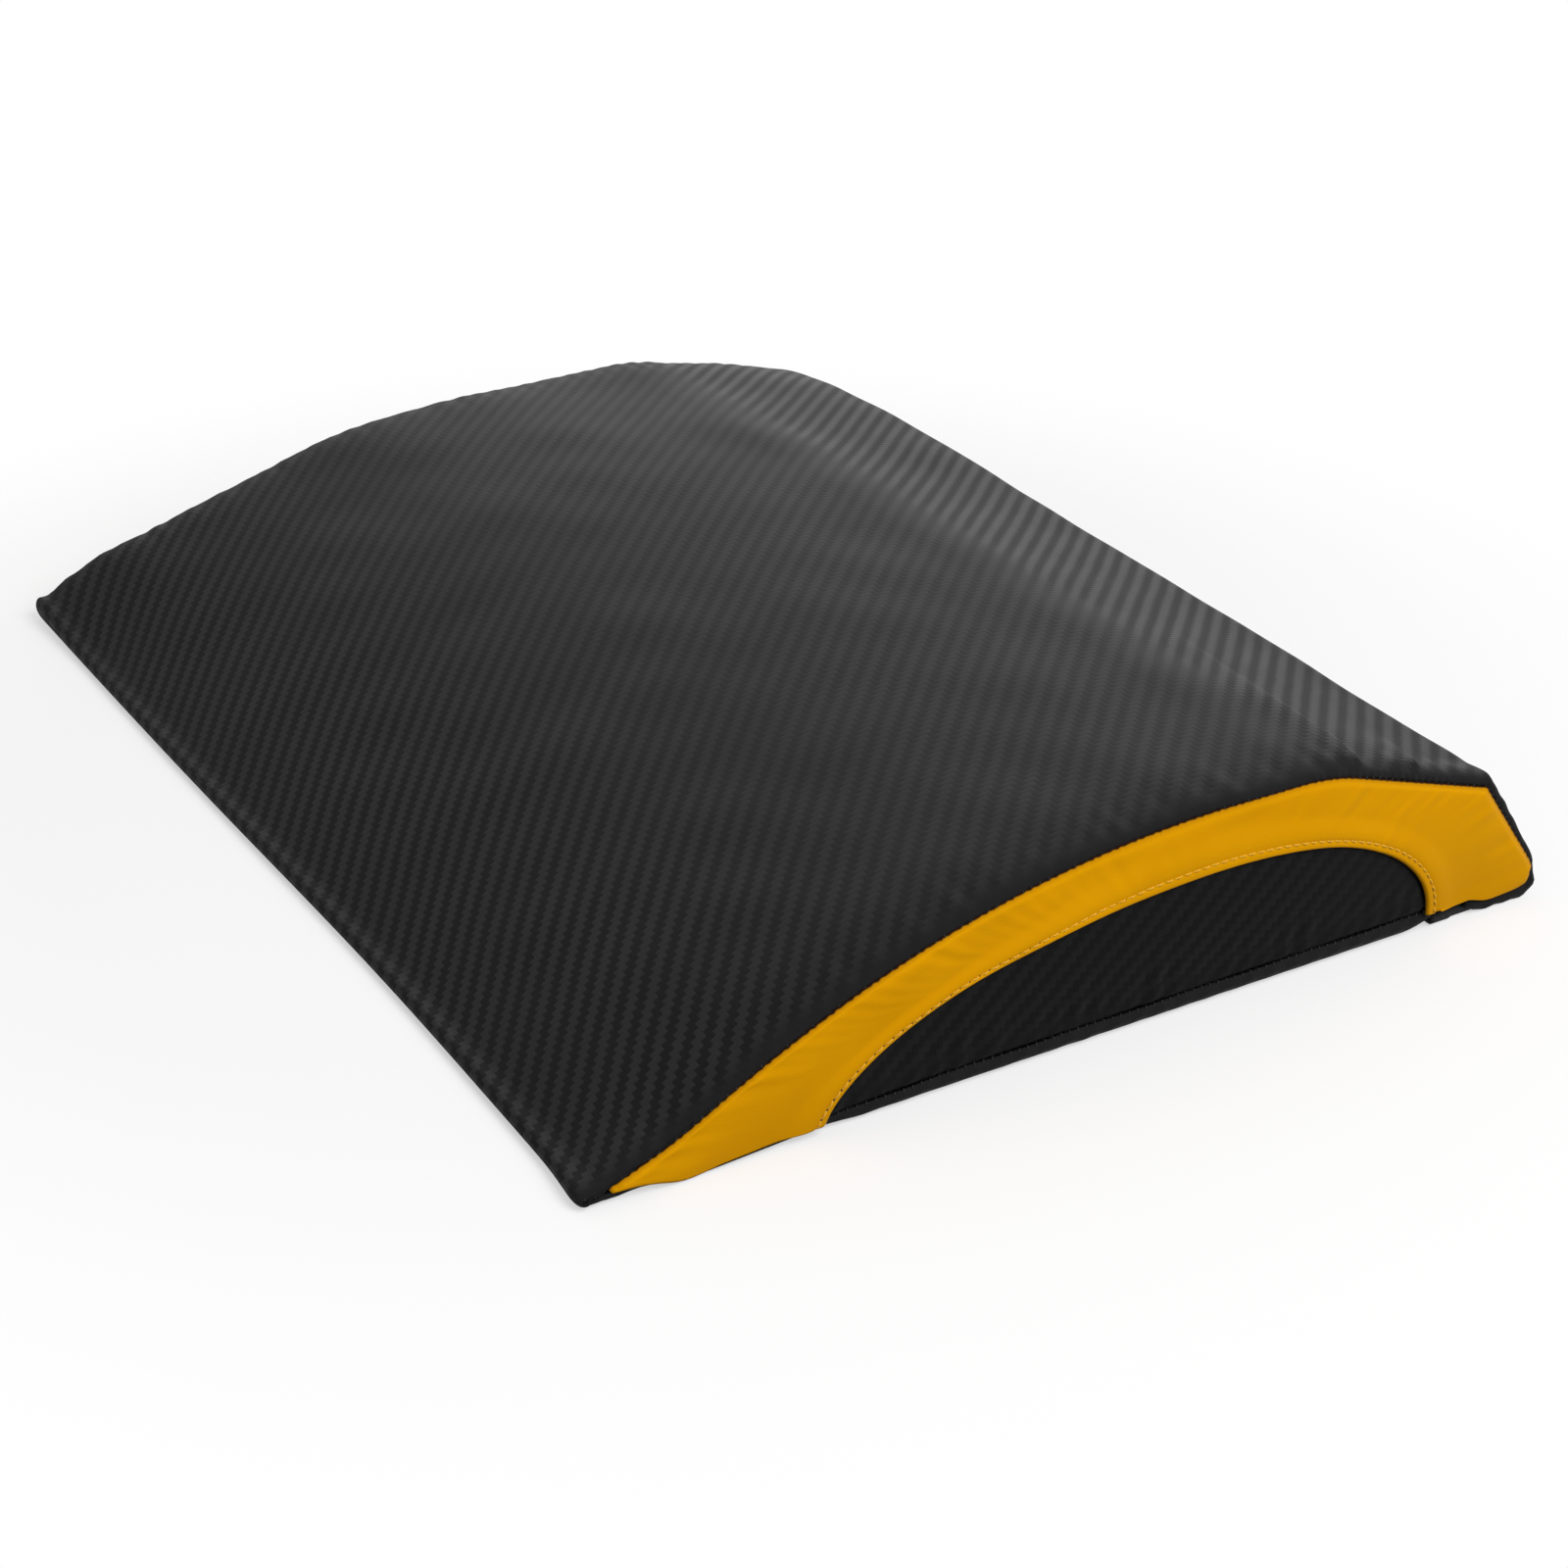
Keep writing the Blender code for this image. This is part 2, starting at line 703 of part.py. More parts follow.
def slider_pieces():
    """Return the slider's plates, flanges, wedge and bridge as bmeshes about its own centre."""
    half_length = SLIDER_LENGTH / 2
    inner = SLIDER_GAP_HALF
    outer = SLIDER_GAP_HALF + PLATE
    slot = TAPE_THICKNESS / 2 + FIT_GAP
    sink = PLATE / 2
    outline = rounded_rectangle(SLIDER_HALF_WIDTH, half_length, SLIDER_CORNER)
    flange_end = half_length - SLIDER_CORNER
    pieces = []
    for way in (1, -1):
        pieces.append(extrude(outline, way * inner, way * outer, lying))
        for side in (1, -1):
            spans = [sorted((side * SLIDER_CHANNEL, side * (SLIDER_HALF_WIDTH - sink / 4)))]
            spans += [(-flange_end, flange_end), sorted((way * slot, way * (inner + sink)))]
            pieces.append(box(*zip(*spans)))
    wedge_end = half_length - SLIDER_CORNER
    pieces.append(box((-WEDGE_WIDTH / 2, wedge_end - WEDGE_LENGTH, -inner - sink),
                      (WEDGE_WIDTH / 2, wedge_end, inner + sink)))
    opening = BRIDGE_OPENING / 2
    leg = opening + BRIDGE_LEG
    ceiling = outer + BRIDGE_WINDOW
    crown = ceiling + BRIDGE_BAR
    arch = [(-leg, outer - sink), (-leg, ceiling), (-opening, crown), (opening, crown), (leg, ceiling),
            (leg, outer - sink), (opening, outer - sink), (opening, ceiling), (-opening, ceiling),
            (-opening, outer - sink)]
    bridge = extrude(arch, -BRIDGE_WIDTH / 2, BRIDGE_WIDTH / 2, lambda a, b, h: Vector((h, a, -b)))
    return [*pieces, bridge]


def make_slider():
    """Make the slider, its origin on the teeth's centre line at the closed end of the zip."""
    parts = [add_object(f"slider_part_{index}", shape, "zip_metal")
             for index, shape in enumerate(slider_pieces())]
    slider = join_shapes(parts[0], parts[1:])
    slider.name = "zip_slider"
    slider.location = (ZIP_X, SLIDER_END_Y, TAPE_Z)
    return slider


def make_pull(slider):
    """Make the pull tab, its origin on the cross bar that turns in the slider's bridge."""
    bar = PULL_THICKNESS / 2
    half = PULL_WIDTH / 2
    hole_half = half - PULL_ARM
    tip = PULL_LENGTH - bar
    outline = [(half, bar), (half, -tip + half), (half - PULL_TIP_CUT, -tip), (PULL_TIP_CUT - half, -tip),
               (-half, -tip + half), (-half, bar)]
    hole = [(hole_half, -bar), (hole_half, -bar - PULL_HOLE), (-hole_half, -bar - PULL_HOLE),
            (-hole_half, -bar)]
    pull = add_object("zip_pull", extrude(outline, -bar, bar, lying), "zip_metal")
    cutter = add_object("pull_cutter", extrude(hole, -PULL_THICKNESS, PULL_THICKNESS, lying), "zip_metal")
    cutter.hide_render = True
    cutter.display_type = "WIRE"
    cutter.parent = pull
    cut = pull.modifiers.new("hole", "BOOLEAN")
    cut.operation = "DIFFERENCE"
    cut.solver = "EXACT"
    cut.object = cutter
    pull.parent = slider
    pull.location = (0, 0, -SLIDER_GAP_HALF - PLATE - BRIDGE_WINDOW / 2)
    return pull


def make_tab(name, side):
    """Make a folded tape end: a flat U of cloth that closes the channel under the side seam."""
    top = TAPE_Z - TAPE_THICKNESS / 2 - FIT_GAP
    low = FIT_GAP
    radius = (top - low) / 2
    inner_radius = radius - TAB_LAYER
    middle = (top + low) / 2
    bend_y = WIDTH / 2 - radius
    start_y = SIDE_SEAM - TAB_FOLD
    outline = [(start_y, top)]
    for step in range(2 * CORNER_STEPS + 1):
        angle = math.pi / 2 - math.pi * step / (2 * CORNER_STEPS)
        outline.append((bend_y + radius * math.cos(angle), middle + radius * math.sin(angle)))
    outline += [(start_y, low), (start_y, low + TAB_LAYER)]
    for step in range(2 * CORNER_STEPS + 1):
        angle = -math.pi / 2 + math.pi * step / (2 * CORNER_STEPS)
        outline.append((bend_y + inner_radius * math.cos(angle), middle + inner_radius * math.sin(angle)))
    outline.append((start_y, top - TAB_LAYER))
    half = ZIP_WINDOW / 2 - FIT_GAP
    shape = extrude(outline, -half, half, lambda a, b, h: Vector((ZIP_X + h, side * a, b)))
    return add_object(name, shape, "zip_tape")


def make_zip():
    """Make the whole zip: tapes, rows of teeth, stops, slider, pull and folded ends."""
    for name, side in (("front", -1), ("rear", 1)):
        make_tape(f"zip_{name}_tape", side)
        make_teeth(f"zip_{name}_teeth", side)
        inner, outer = sorted((side * LANE / 2, side * CHAIN_HALF))
        make_stop(f"zip_{name}_end_stop", inner, outer, STOP_Y)
    make_stop("zip_start_stop", -CHAIN_HALF, CHAIN_HALF, -STOP_Y)
    for name, side in (("near", -1), ("far", 1)):
        make_tab(f"zip_{name}_tab", side)
    make_pull(make_slider())


def make_cover():
    """Make the sewn cover: top and bottom panels, and a band and an insert on each side."""
    split = len(PROFILE.top)
    cover_panel("top_panel", range(split), "carbon_vinyl")
    cover_panel("bottom_panel", range(split, len(PROFILE.stations)), "base_vinyl")
    for name, side in (("near", -1), ("far", 1)):
        side_panel(f"{name}_side_band", band_grid(), side, 0.0, "yellow_vinyl")
        side_panel(f"{name}_side_insert", insert_grid(), side, LAYER, "carbon_vinyl")


def main():
    """Build the mat."""
    clear_scene()
    make_core()
    make_cover()
    make_zip()


main()
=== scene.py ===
"""Ab mat: a foam wedge in a black twill vinyl cover with amber side bands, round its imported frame.

Metres, +Z up. X runs from the thin front edge to the thick end and Y across the mat.
"""

import logging
import math
from collections.abc import Callable
from dataclasses import dataclass, field
from enum import Enum

import bmesh
import bpy
import numpy as np
from mathutils import Matrix, Vector


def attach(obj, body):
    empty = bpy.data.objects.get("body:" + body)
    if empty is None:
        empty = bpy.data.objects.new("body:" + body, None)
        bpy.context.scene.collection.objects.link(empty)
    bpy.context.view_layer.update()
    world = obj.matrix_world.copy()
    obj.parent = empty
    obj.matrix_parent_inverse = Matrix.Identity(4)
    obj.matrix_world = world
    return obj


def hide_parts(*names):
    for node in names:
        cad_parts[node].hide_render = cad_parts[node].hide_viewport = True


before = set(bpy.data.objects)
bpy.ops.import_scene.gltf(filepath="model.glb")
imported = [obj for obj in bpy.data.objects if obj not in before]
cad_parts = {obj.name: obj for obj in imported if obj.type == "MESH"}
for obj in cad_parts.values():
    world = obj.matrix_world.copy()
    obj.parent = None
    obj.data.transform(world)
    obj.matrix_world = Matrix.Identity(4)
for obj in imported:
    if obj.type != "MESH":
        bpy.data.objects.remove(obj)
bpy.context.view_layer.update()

LOG = logging.getLogger("ab_mat")
MILLIMETRE = 0.001
MAT = "mat"
WEAVE = "weave"
UPWARD = "upward"


class Side(Enum):
    """The two sides of the mat, by the sign of their y."""

    NEAR = -1
    FAR = 1

    def named(self, piece: str) -> str:
        """Return the name of this side's piece."""
        return f"{self.name.lower()}_{piece}"


EDGE_ROWS = {Side.NEAR: 0, Side.FAR: -1}


class Slot(Enum):
    """The record's material slots, which scene.py names for its own pieces."""

    FOAM = "foam"
    CARBON = "carbon_vinyl"
    BASE = "base_vinyl"
    YELLOW = "yellow_vinyl"
    TAPE = "zip_tape"
    TEETH = "zip_teeth"


# Arrays of points


def travelled(points: np.ndarray) -> np.ndarray:
    """Return how far each point lies along its line, or along its column of a grid."""
    steps = np.linalg.norm(np.diff(points, axis=0), axis=-1)
    return np.concatenate([np.zeros((1, *steps.shape[1:])), np.cumsum(steps, axis=0)])


def along(known: np.ndarray, values: np.ndarray, wanted: np.ndarray) -> np.ndarray:
    """Return a row of values at each wanted place, from the rows at known, rising places."""
    return np.stack([np.interp(wanted, known, column) for column in values.T], axis=-1)


def graded(stops: tuple, steps: tuple) -> np.ndarray:
    """Return places from the first stop to the last, evenly spaced between any two stops.

    Args:
        stops: Where the spacing changes, in rising order, with the two ends.
        steps: The number of steps from each stop to the next one.

    Returns:
        The places in rising order.
    """
    runs = [np.linspace(first, last, count + 1)[:-1]
            for first, last, count in zip(stops, stops[1:], steps)]
    return np.concatenate([*runs, stops[-1:]])


def cubic_weights(place: np.ndarray, count: int) -> tuple[np.ndarray, np.ndarray]:
    """Return the four samples and weights of a smooth curve through a row of samples.

    Args:
        place: Places in the row, in samples from its first one.
        count: The number of samples in the row.

    Returns:
        The indices and the weights of the four samples next to each place.
    """
    base = np.clip(np.floor(place).astype(int), 0, count - 2)
    t = place - base
    weights = np.stack([
        -0.5 * t + t ** 2 - 0.5 * t ** 3,
        1 - 2.5 * t ** 2 + 1.5 * t ** 3,
        0.5 * t + 2 * t ** 2 - 1.5 * t ** 3,
        -0.5 * t ** 2 + 0.5 * t ** 3,
    ], axis=-1)
    indices = np.clip(base[..., None] + np.arange(-1, 3), 0, count - 1)
    return indices, weights


def read_grid(grid: np.ndarray, row: np.ndarray, column: np.ndarray) -> np.ndarray:
    """Return smooth values of a grid at scattered places.

    Args:
        grid: Values as rows, columns and components.
        row: The rows to read, as whole and part rows.
        column: The columns to read, in an array like row.

    Returns:
        The values, one set of components for each place.
    """
    rows, row_weights = cubic_weights(row, grid.shape[0])
    columns, column_weights = cubic_weights(column, grid.shape[1])
    total = np.zeros(row.shape + grid.shape[2:])
    for a in range(4):
        for b in range(4):
            weight = row_weights[..., a] * column_weights[..., b]
            total += weight[..., None] * grid[rows[..., a], columns[..., b]]
    return total


def grid_normals(grid: np.ndarray) -> np.ndarray:
    """Return the unit normals of a grid of points, from its columns' and rows' directions.

    Args:
        grid: Points as rows, columns and three components.

    Returns:
        The normals in an array like the grid.
    """
    down = np.gradient(grid, axis=0)
    across = np.gradient(grid, axis=1)
    normals = np.cross(across, down)
    lengths = np.linalg.norm(normals, axis=-1, keepdims=True)
    return normals / np.maximum(lengths, 1e-12)


def smooth_step(value: np.ndarray, low: float, high: float) -> np.ndarray:
    """Return a smooth rise from 0 at low to 1 at high."""
    t = np.clip((value - low) / (high - low), 0.0, 1.0)
    return t * t * (3 - 2 * t)


def bell(away: np.ndarray, width: "np.ndarray | float") -> np.ndarray:
    """Return a bump that is 1 at its middle and fades out over a width."""
    return np.exp(-(away / width) ** 2)


def looped(grid: np.ndarray) -> np.ndarray:
    """Return a grid with its first column again after its last one."""
    return np.concatenate([grid, grid[:, :1]], axis=1)


@dataclass(frozen=True)
class Ripple:
    """A smooth random wave along a line, with a fixed seed."""

    wavelength: float
    seed: int
    spread: float = 0.45
    count: int = 9

    def at(self, place: np.ndarray) -> np.ndarray:
        """Return the wave's height, about -1 to 1, at each place.

        Args:
            place: Distances along the line, in metres.

        Returns:
            The heights in an array like place.
        """
        draw = np.random.RandomState(self.seed)
        total = np.zeros_like(place)
        for _ in range(self.count):
            length = self.wavelength * (1 + self.spread * draw.uniform(-1, 1))
            total += np.sin(2 * np.pi * place / length + draw.uniform(0, 2 * np.pi))
        return total / math.sqrt(self.count)


@dataclass(frozen=True)
class Swell:
    """A smooth random surface over two coordinates, with a fixed seed."""

    wavelength: float
    seed: int
    spread: float = 0.5
    count: int = 16

    def at(self, first: np.ndarray, second: np.ndarray) -> np.ndarray:
        """Return the surface's height, about -1 to 1, at each place.

        Args:
            first: The first coordinate, in metres.
            second: The second coordinate, in an array like first.

        Returns:
            The heights in an array like first.
        """
        draw = np.random.RandomState(self.seed)
        total = np.zeros_like(first)
        for _ in range(self.count):
            turn = draw.uniform(0, np.pi)
            length = self.wavelength * (1 + self.spread * draw.uniform(-1, 1))
            way = first * math.cos(turn) + second * math.sin(turn)
            total += np.sin(2 * np.pi * way / length + draw.uniform(0, 2 * np.pi))
        return total / math.sqrt(self.count)


# Shader nodes


def math_node(operation: str, number_first: bool = False) -> Callable:
    """Return a method of Value that adds one Math node.

    Args:
        operation: The node's operation.
        number_first: Whether the method's argument goes before the value, as in a reflected
            operator.

    Returns:
        The method.
    """

    def method(self: "Value", *others: "Value | float") -> "Value":
        """Return the result of the Math node on this value and others."""
        values = (*others, self) if number_first else (self, *others)
        return self.maker.add("ShaderNodeMath", {"operation": operation}, dict(enumerate(values)))

    return method


class Value:
    """A socket that does arithmetic by adding Math nodes."""

    def __init__(self, maker: "TreeMaker", socket: bpy.types.NodeSocket) -> None:
        """Keep the socket and the tree that new nodes go into."""
        self.maker = maker
        self.socket = socket

    __add__ = math_node("ADD")
    __radd__ = math_node("ADD", number_first=True)
    __sub__ = math_node("SUBTRACT")
    __rsub__ = math_node("SUBTRACT", number_first=True)
    __mul__ = math_node("MULTIPLY")
    __rmul__ = math_node("MULTIPLY", number_first=True)
    __truediv__ = math_node("DIVIDE")
    __pow__ = math_node("POWER")
    __lt__ = math_node("LESS_THAN")
    __mod__ = math_node("FLOORED_MODULO")
    floor = math_node("FLOOR")
    fraction = math_node("FRACT")
    sine = math_node("SINE")
    magnitude = math_node("ABSOLUTE")
    largest = math_node("MAXIMUM")


class TreeMaker:
    """A node tree, to which nodes are added one call at a time."""

    def __init__(self, tree: bpy.types.NodeTree) -> None:
        """Keep the tree."""
        self.tree = tree

    def add(self, kind: str, settings: dict | None = None, inputs: dict | None = None,
            output: int | str = 0) -> Value:
        """Add a node, set it, feed it and return one of its outputs.

        Args:
            kind: The node's type.
            settings: The node's own properties.
            inputs: Values or links by the socket's name or number.
            output: The name or number of the output to return.

        Returns:
            The output as a value.
        """
        node = self.tree.nodes.new(kind)
        for name, value in (settings or {}).items():
            setattr(node, name, value)
        for key, value in (inputs or {}).items():
            self.feed(node.inputs[key], value)
        return Value(self, node.outputs[output])

    def feed(self, socket: bpy.types.NodeSocket, value: object) -> None:
        """Give a socket its value.

        Args:
            socket: The socket.
            value: A value to link to it, or a plain one to set.
        """
        if isinstance(value, Value):
            self.tree.links.new(value.socket, socket)
        else:
            socket.default_value = value

    def ramp(self, value: Value, low: float, high: float) -> Value:
        """Return a smooth rise from 0 at low to 1 at high."""
        return self.add("ShaderNodeMapRange", {"interpolation_type": "SMOOTHSTEP"},
                        {"Value": value, "From Min": low, "From Max": high})

    def seen(self) -> Value:
        """Tell the rays that show a surface from those of soft light.

        Returns:
            1 for rays of the camera, a gloss or a glass, and 0 for rays of soft light.
        """
        camera, gloss, glass = (self.add("ShaderNodeLightPath", output=f"Is {kind} Ray")
                                for kind in ("Camera", "Glossy", "Transmission"))
        return camera.largest(gloss).largest(glass)


class NodeMaker(TreeMaker):
    """A material's node tree."""

    def __init__(self, name: str) -> None:
        """Make an empty material with a Principled shader.

        Args:
            name: The material's name.
        """
        self.material = bpy.data.materials.new(name)
        self.material.use_nodes = True
        super().__init__(self.material.node_tree)
        self.shader = self.tree.nodes["Principled BSDF"]
        self.result = self.tree.nodes["Material Output"]

    def set(self, **inputs: object) -> None:
        """Set or feed the shader's sockets, whose names are given with _ for a space."""
        for name, value in inputs.items():
            self.feed(self.shader.inputs[name.replace("_", " ")], value)

    def parts(self, vector: Value) -> tuple[Value, Value, Value]:
        """Return a vector's three components."""
        first = self.add("ShaderNodeSeparateXYZ", {}, {0: vector})
        return tuple(Value(self, output) for output in first.socket.node.outputs)

    def weave(self) -> Value:
        """Return the piece's own cloth coordinates: along, across and distance from a seam."""
        return self.add("ShaderNodeAttribute", {"attribute_name": WEAVE}, output="Vector")

    def place(self) -> Value:
        """Return the object coordinates."""
        return self.add("ShaderNodeTexCoord", output="Object")

    def noise(self, vector: Value, scale: float, detail: float = 2.0,
              roughness: float = 0.5) -> Value:
        """Return a noise from 0 to 1, with a scale in features a metre."""
        settings = {"Scale": scale, "Detail": detail, "Roughness": roughness, "Vector": vector}
        return self.add("ShaderNodeTexNoise", {}, settings, output="Fac")

    def mix(self, share: "Value | float", first: object, second: object) -> Value:
        """Return a colour between two colours: the first one at 0 and the second one at 1."""
        return self.add("ShaderNodeMix", {"data_type": "RGBA"}, {0: share, 6: first, 7: second},
                        output=2)

    def bump(self, height: Value, depth: float, under: Value | None = None) -> Value:
        """Return a normal bent by a height.

        Args:
            height: The height, from 0 to 1.
            depth: What a height of 1 means, in metres.
            under: A normal to bend further.

        Returns:
            The normal.
        """
        inputs = {"Height": height, "Distance": depth, "Strength": 1.0}
        if under is not None:
            inputs["Normal"] = under
        return self.add("ShaderNodeBump", {}, inputs, output="Normal")


def grey(level: float) -> tuple[float, float, float, float]:
    """Return an opaque grey."""
    return (level, level, level, 1.0)


@dataclass(frozen=True)
class Finish:
    """A finish, which fills an empty material with its nodes."""

    name: str

    def material(self) -> bpy.types.Material:
        """Return the finish as a material.

        Returns:
            The material.
        """
        make = NodeMaker(self.name)
        self.paint(make)
        return make.material

    def paint(self, make: NodeMaker) -> None:
        """Add the finish's nodes, which each kind of finish has its own of."""
        raise NotImplementedError


@dataclass(frozen=True)
class TwillVinyl(Finish):
    """Vinyl embossed with a two by two twill of flat tows, which the seams pull smooth."""

    pitch: float = 0.00187
    repeat: float = 4.0
    light: tuple = (0.019, 0.019, 0.0195, 1.0)
    dark: tuple = (0.0062, 0.0062, 0.0065, 1.0)
    smooth: tuple = (0.0115, 0.0115, 0.012, 1.0)
    specular: float = 0.08
    relief: float = 0.00004
    wander_scale: float = 55.0
    wander: float = 0.5
    seam_wander: float = 0.006
    wear_scale: float = 26.0
    wear: float = 0.2
    rough_change: float = 0.05
    grain_scale: float = 2600.0
    grain_relief: float = 0.000016
    fade_start: float = 0.0025
    fade_end: float = 0.009
    # Painted sheen: where along the cloth the twill's contrast is calmed, and by how much, as the
    # sheen washes it out over the arch and crest.
    calm_start: float = 0.03
    calm_end: float = 0.13
    back_start: float = 0.235
    back_end: float = 0.25
    calm: float = 0.6
    light_roughness: float = 0.58
    dark_roughness: float = 0.68
    fibres: float = 6.0
    fibre_relief: float = 0.05
    crown: float = 0.55

    def paint(self, make: NodeMaker) -> None:
        """Add the finish's nodes.

        Args:
            make: The empty material's maker.
        """
        weave = make.weave()
        way, v, seam = make.parts(weave)
        wander = make.noise(weave, self.wander_scale) - 0.5
        u = (way + wander * (self.wander * self.pitch)) / self.pitch
        v = v / self.pitch
        step = (u.floor() - v.floor()) % self.repeat
        warp = step < self.repeat / 2
        relief = self._floats(u, v, step, warp)
        shown = make.ramp(seam + wander * self.seam_wander, self.fade_start, self.fade_end)
        worn = make.noise(weave, self.wear_scale, 4.0, 0.6)
        # Painted sheen: the contrast fades over the arch and crest and comes back on the back slope.
        painted_sheen_calm = make.ramp(way, self.calm_start, self.calm_end)
        painted_sheen_calm = painted_sheen_calm - make.ramp(way, self.back_start, self.back_end)
        contrast = (1 - painted_sheen_calm * self.calm) * (1 - make.ramp(worn, 0.35, 0.75) * self.wear)
        woven = (warp - 0.5) * contrast + 0.5
        colour = make.mix(shown, self.smooth, make.mix(woven, self.dark, self.light))
        rough = woven * (self.light_roughness - self.dark_roughness) + self.dark_roughness
        rough = rough + (worn - 0.5) * self.rough_change + (1 - shown) * self.rough_change
        grain = make.noise(make.place(), self.grain_scale, 3.0, 0.6)
        normal = make.bump(relief * shown, self.relief)
        normal = make.bump(grain, self.grain_relief, normal)
        make.set(Base_Color=colour, Roughness=rough, Normal=normal,
                 Specular_IOR_Level=self.specular)

    def _floats(self, u: Value, v: Value, step: Value, warp: Value) -> Value:
        """Return the height of the tows: each float is crowned and dips at its two ends.

        Args:
            u: Place along the cloth, in tows.
            v: Place across the cloth, in tows.
            step: The place in the twill's repeat of four tows.
            warp: 1 on the floats that run along the cloth.

        Returns:
            The height, from 0 to 1.
        """
        along_u = self._float(v.fraction(), (step + u.fraction()) * 0.5)
        along_v = self._float(u.fraction(), (self.repeat - 1 - step + v.fraction()) * 0.5)
        return along_v + warp * (along_u - along_v)

    def _float(self, across: Value, length: Value) -> Value:
        """Return one float's height.

        Args:
            across: The share of its width.
            length: The share of its length.

        Returns:
            The height, from 0 to 1.
        """
        crown = 1 - (across * 2 - 1) ** 2
        ends = 1 - ((length * 2 - 1).magnitude()) ** 4
        fibre = (across * (self.fibres * 2 * math.pi)).sine() * self.fibre_relief
        return (crown * self.crown + (1 - self.crown)) * ends + fibre


@dataclass(frozen=True)
class SmoothVinyl(Finish):
    """Smooth coloured vinyl with a fine leather grain, darkened towards its seams by painted shade.
    """

    colour: tuple = (0.70, 0.315, 0.001, 1.0)
    shade: tuple = (0.62, 0.265, 0.001, 1.0)
    # Painted shade towards the seams and the hemmed edge, and a painted shadow line at the seam
    # itself.
    seam_shade: tuple = (0.33, 0.13, 0.003, 1.0)
    seam_shadow_line: tuple = (0.02, 0.008, 0.004, 1.0)
    seam_shade_share: float = 0.55
    shade_share: float = 0.35
    roughness: float = 0.42
    cloud_scale: float = 30.0
    pore_scale: float = 1500.0
    grain_scale: float = 900.0
    grain_relief: float = 0.000018

    def paint(self, make: NodeMaker) -> None:
        """Add the finish's nodes.

        Args:
            make: The empty material's maker.
        """
        place = make.place()
        cloud = make.noise(place, self.cloud_scale, 3.0, 0.55)
        seam = make.parts(make.weave())[2]
        # Painted shade: the colour darkens within a few millimetres of a seam or the hemmed edge,
        # and turns to a thin dark shadow line right at the seam.
        seam_shaded = (1 - make.ramp(seam, 0.0002, 0.0022)) * self.seam_shade_share
        shaded = make.ramp(cloud, 0.35, 0.85) * self.shade_share
        colour = make.mix(shaded, self.colour, self.shade)
        colour = make.mix(seam_shaded, colour, self.seam_shade)
        colour = make.mix(1 - make.ramp(seam, 0.0003, 0.0008), colour, self.seam_shadow_line)
        pores = make.add("ShaderNodeTexVoronoi", {"feature": "DISTANCE_TO_EDGE"},
                         {"Vector": place, "Scale": self.pore_scale}, output="Distance")
        grain = make.ramp(pores, 0.0, 0.35) + make.noise(place, self.grain_scale, 3.0) * 0.6
        make.set(Base_Color=colour, Roughness=self.roughness + (cloud - 0.5) * 0.12,
                 Normal=make.bump(grain, self.grain_relief), Specular_IOR_Level=0.02)


@dataclass(frozen=True)
class WovenTape(Finish):
    """Zip tape: a close herringbone of black yarn, lighter on the yarn crowns as a painted
    highlight.
    """

    yarn: float = 0.00042
    rib: float = 6.0
    colour: tuple = (0.013, 0.013, 0.014, 1.0)
    # The lighter colour of the painted highlight on the yarn crowns.
    crest: tuple = (0.032, 0.032, 0.034, 1.0)
    roughness: float = 0.82
    relief: float = 0.00007

    def paint(self, make: NodeMaker) -> None:
        """Add the finish's nodes.

        Args:
            make: The empty material's maker.
        """
        x, y, z = make.parts(make.place())
        across = x + z
        zigzag = ((across / (self.yarn * self.rib)).fraction() - 0.5).magnitude() * self.rib
        row = (y / self.yarn + zigzag).fraction()
        crown = 1 - (row * 2 - 1) ** 2
        fuzz = make.noise(make.place(), 3000.0, 2.0)
        # Painted highlight: the colour lightens on each yarn's crown, and the grooves between stay
        # dark as painted shade.
        colour = make.mix(crown * 0.6 + fuzz * 0.3, self.colour, self.crest)
        make.set(Base_Color=colour, Roughness=self.roughness + fuzz * 0.12,
                 Normal=make.bump(crown + fuzz * 0.4, self.relief), Specular_IOR_Level=0.25)


@dataclass(frozen=True)
class Thread(Finish):
    """Sewing thread: two plies twisted round each other."""

    colour: tuple
    shade: tuple
    twist: float = 0.0007
    roughness: float = 0.55
    relief: float = 0.00006

    def paint(self, make: NodeMaker) -> None:
        """Add the finish's nodes.

        Args:
            make: The empty material's maker.
        """
        x, y, z = make.parts(make.place())
        ply = (((x + z * 0.8 + y) / self.twist) * (2 * math.pi)).sine() * 0.5 + 0.5
        colour = make.mix(ply, self.shade, self.colour)
        make.set(Base_Color=colour, Roughness=self.roughness + ply * 0.1,
                 Normal=make.bump(ply, self.relief))


@dataclass(frozen=True)
class MouldedPlastic(Finish):
    """Moulded plastic with a faint orange peel and rubbed crests."""

    colour: tuple = (0.016, 0.016, 0.017, 1.0)
    crest: tuple = grey(0.045)
    roughness: float = 0.3
    relief: float = 0.00002

    def paint(self, make: NodeMaker) -> None:
        """Add the finish's nodes.

        Args:
            make: The empty material's maker.
        """
        peel = make.noise(make.place(), 1200.0, 2.0)
        rubbed = make.ramp(make.noise(make.place(), 160.0, 3.0), 0.5, 0.8)
        make.set(Base_Color=make.mix(rubbed * 0.4, self.colour, self.crest),
                 Roughness=self.roughness + rubbed * 0.2, Normal=make.bump(peel, self.relief))


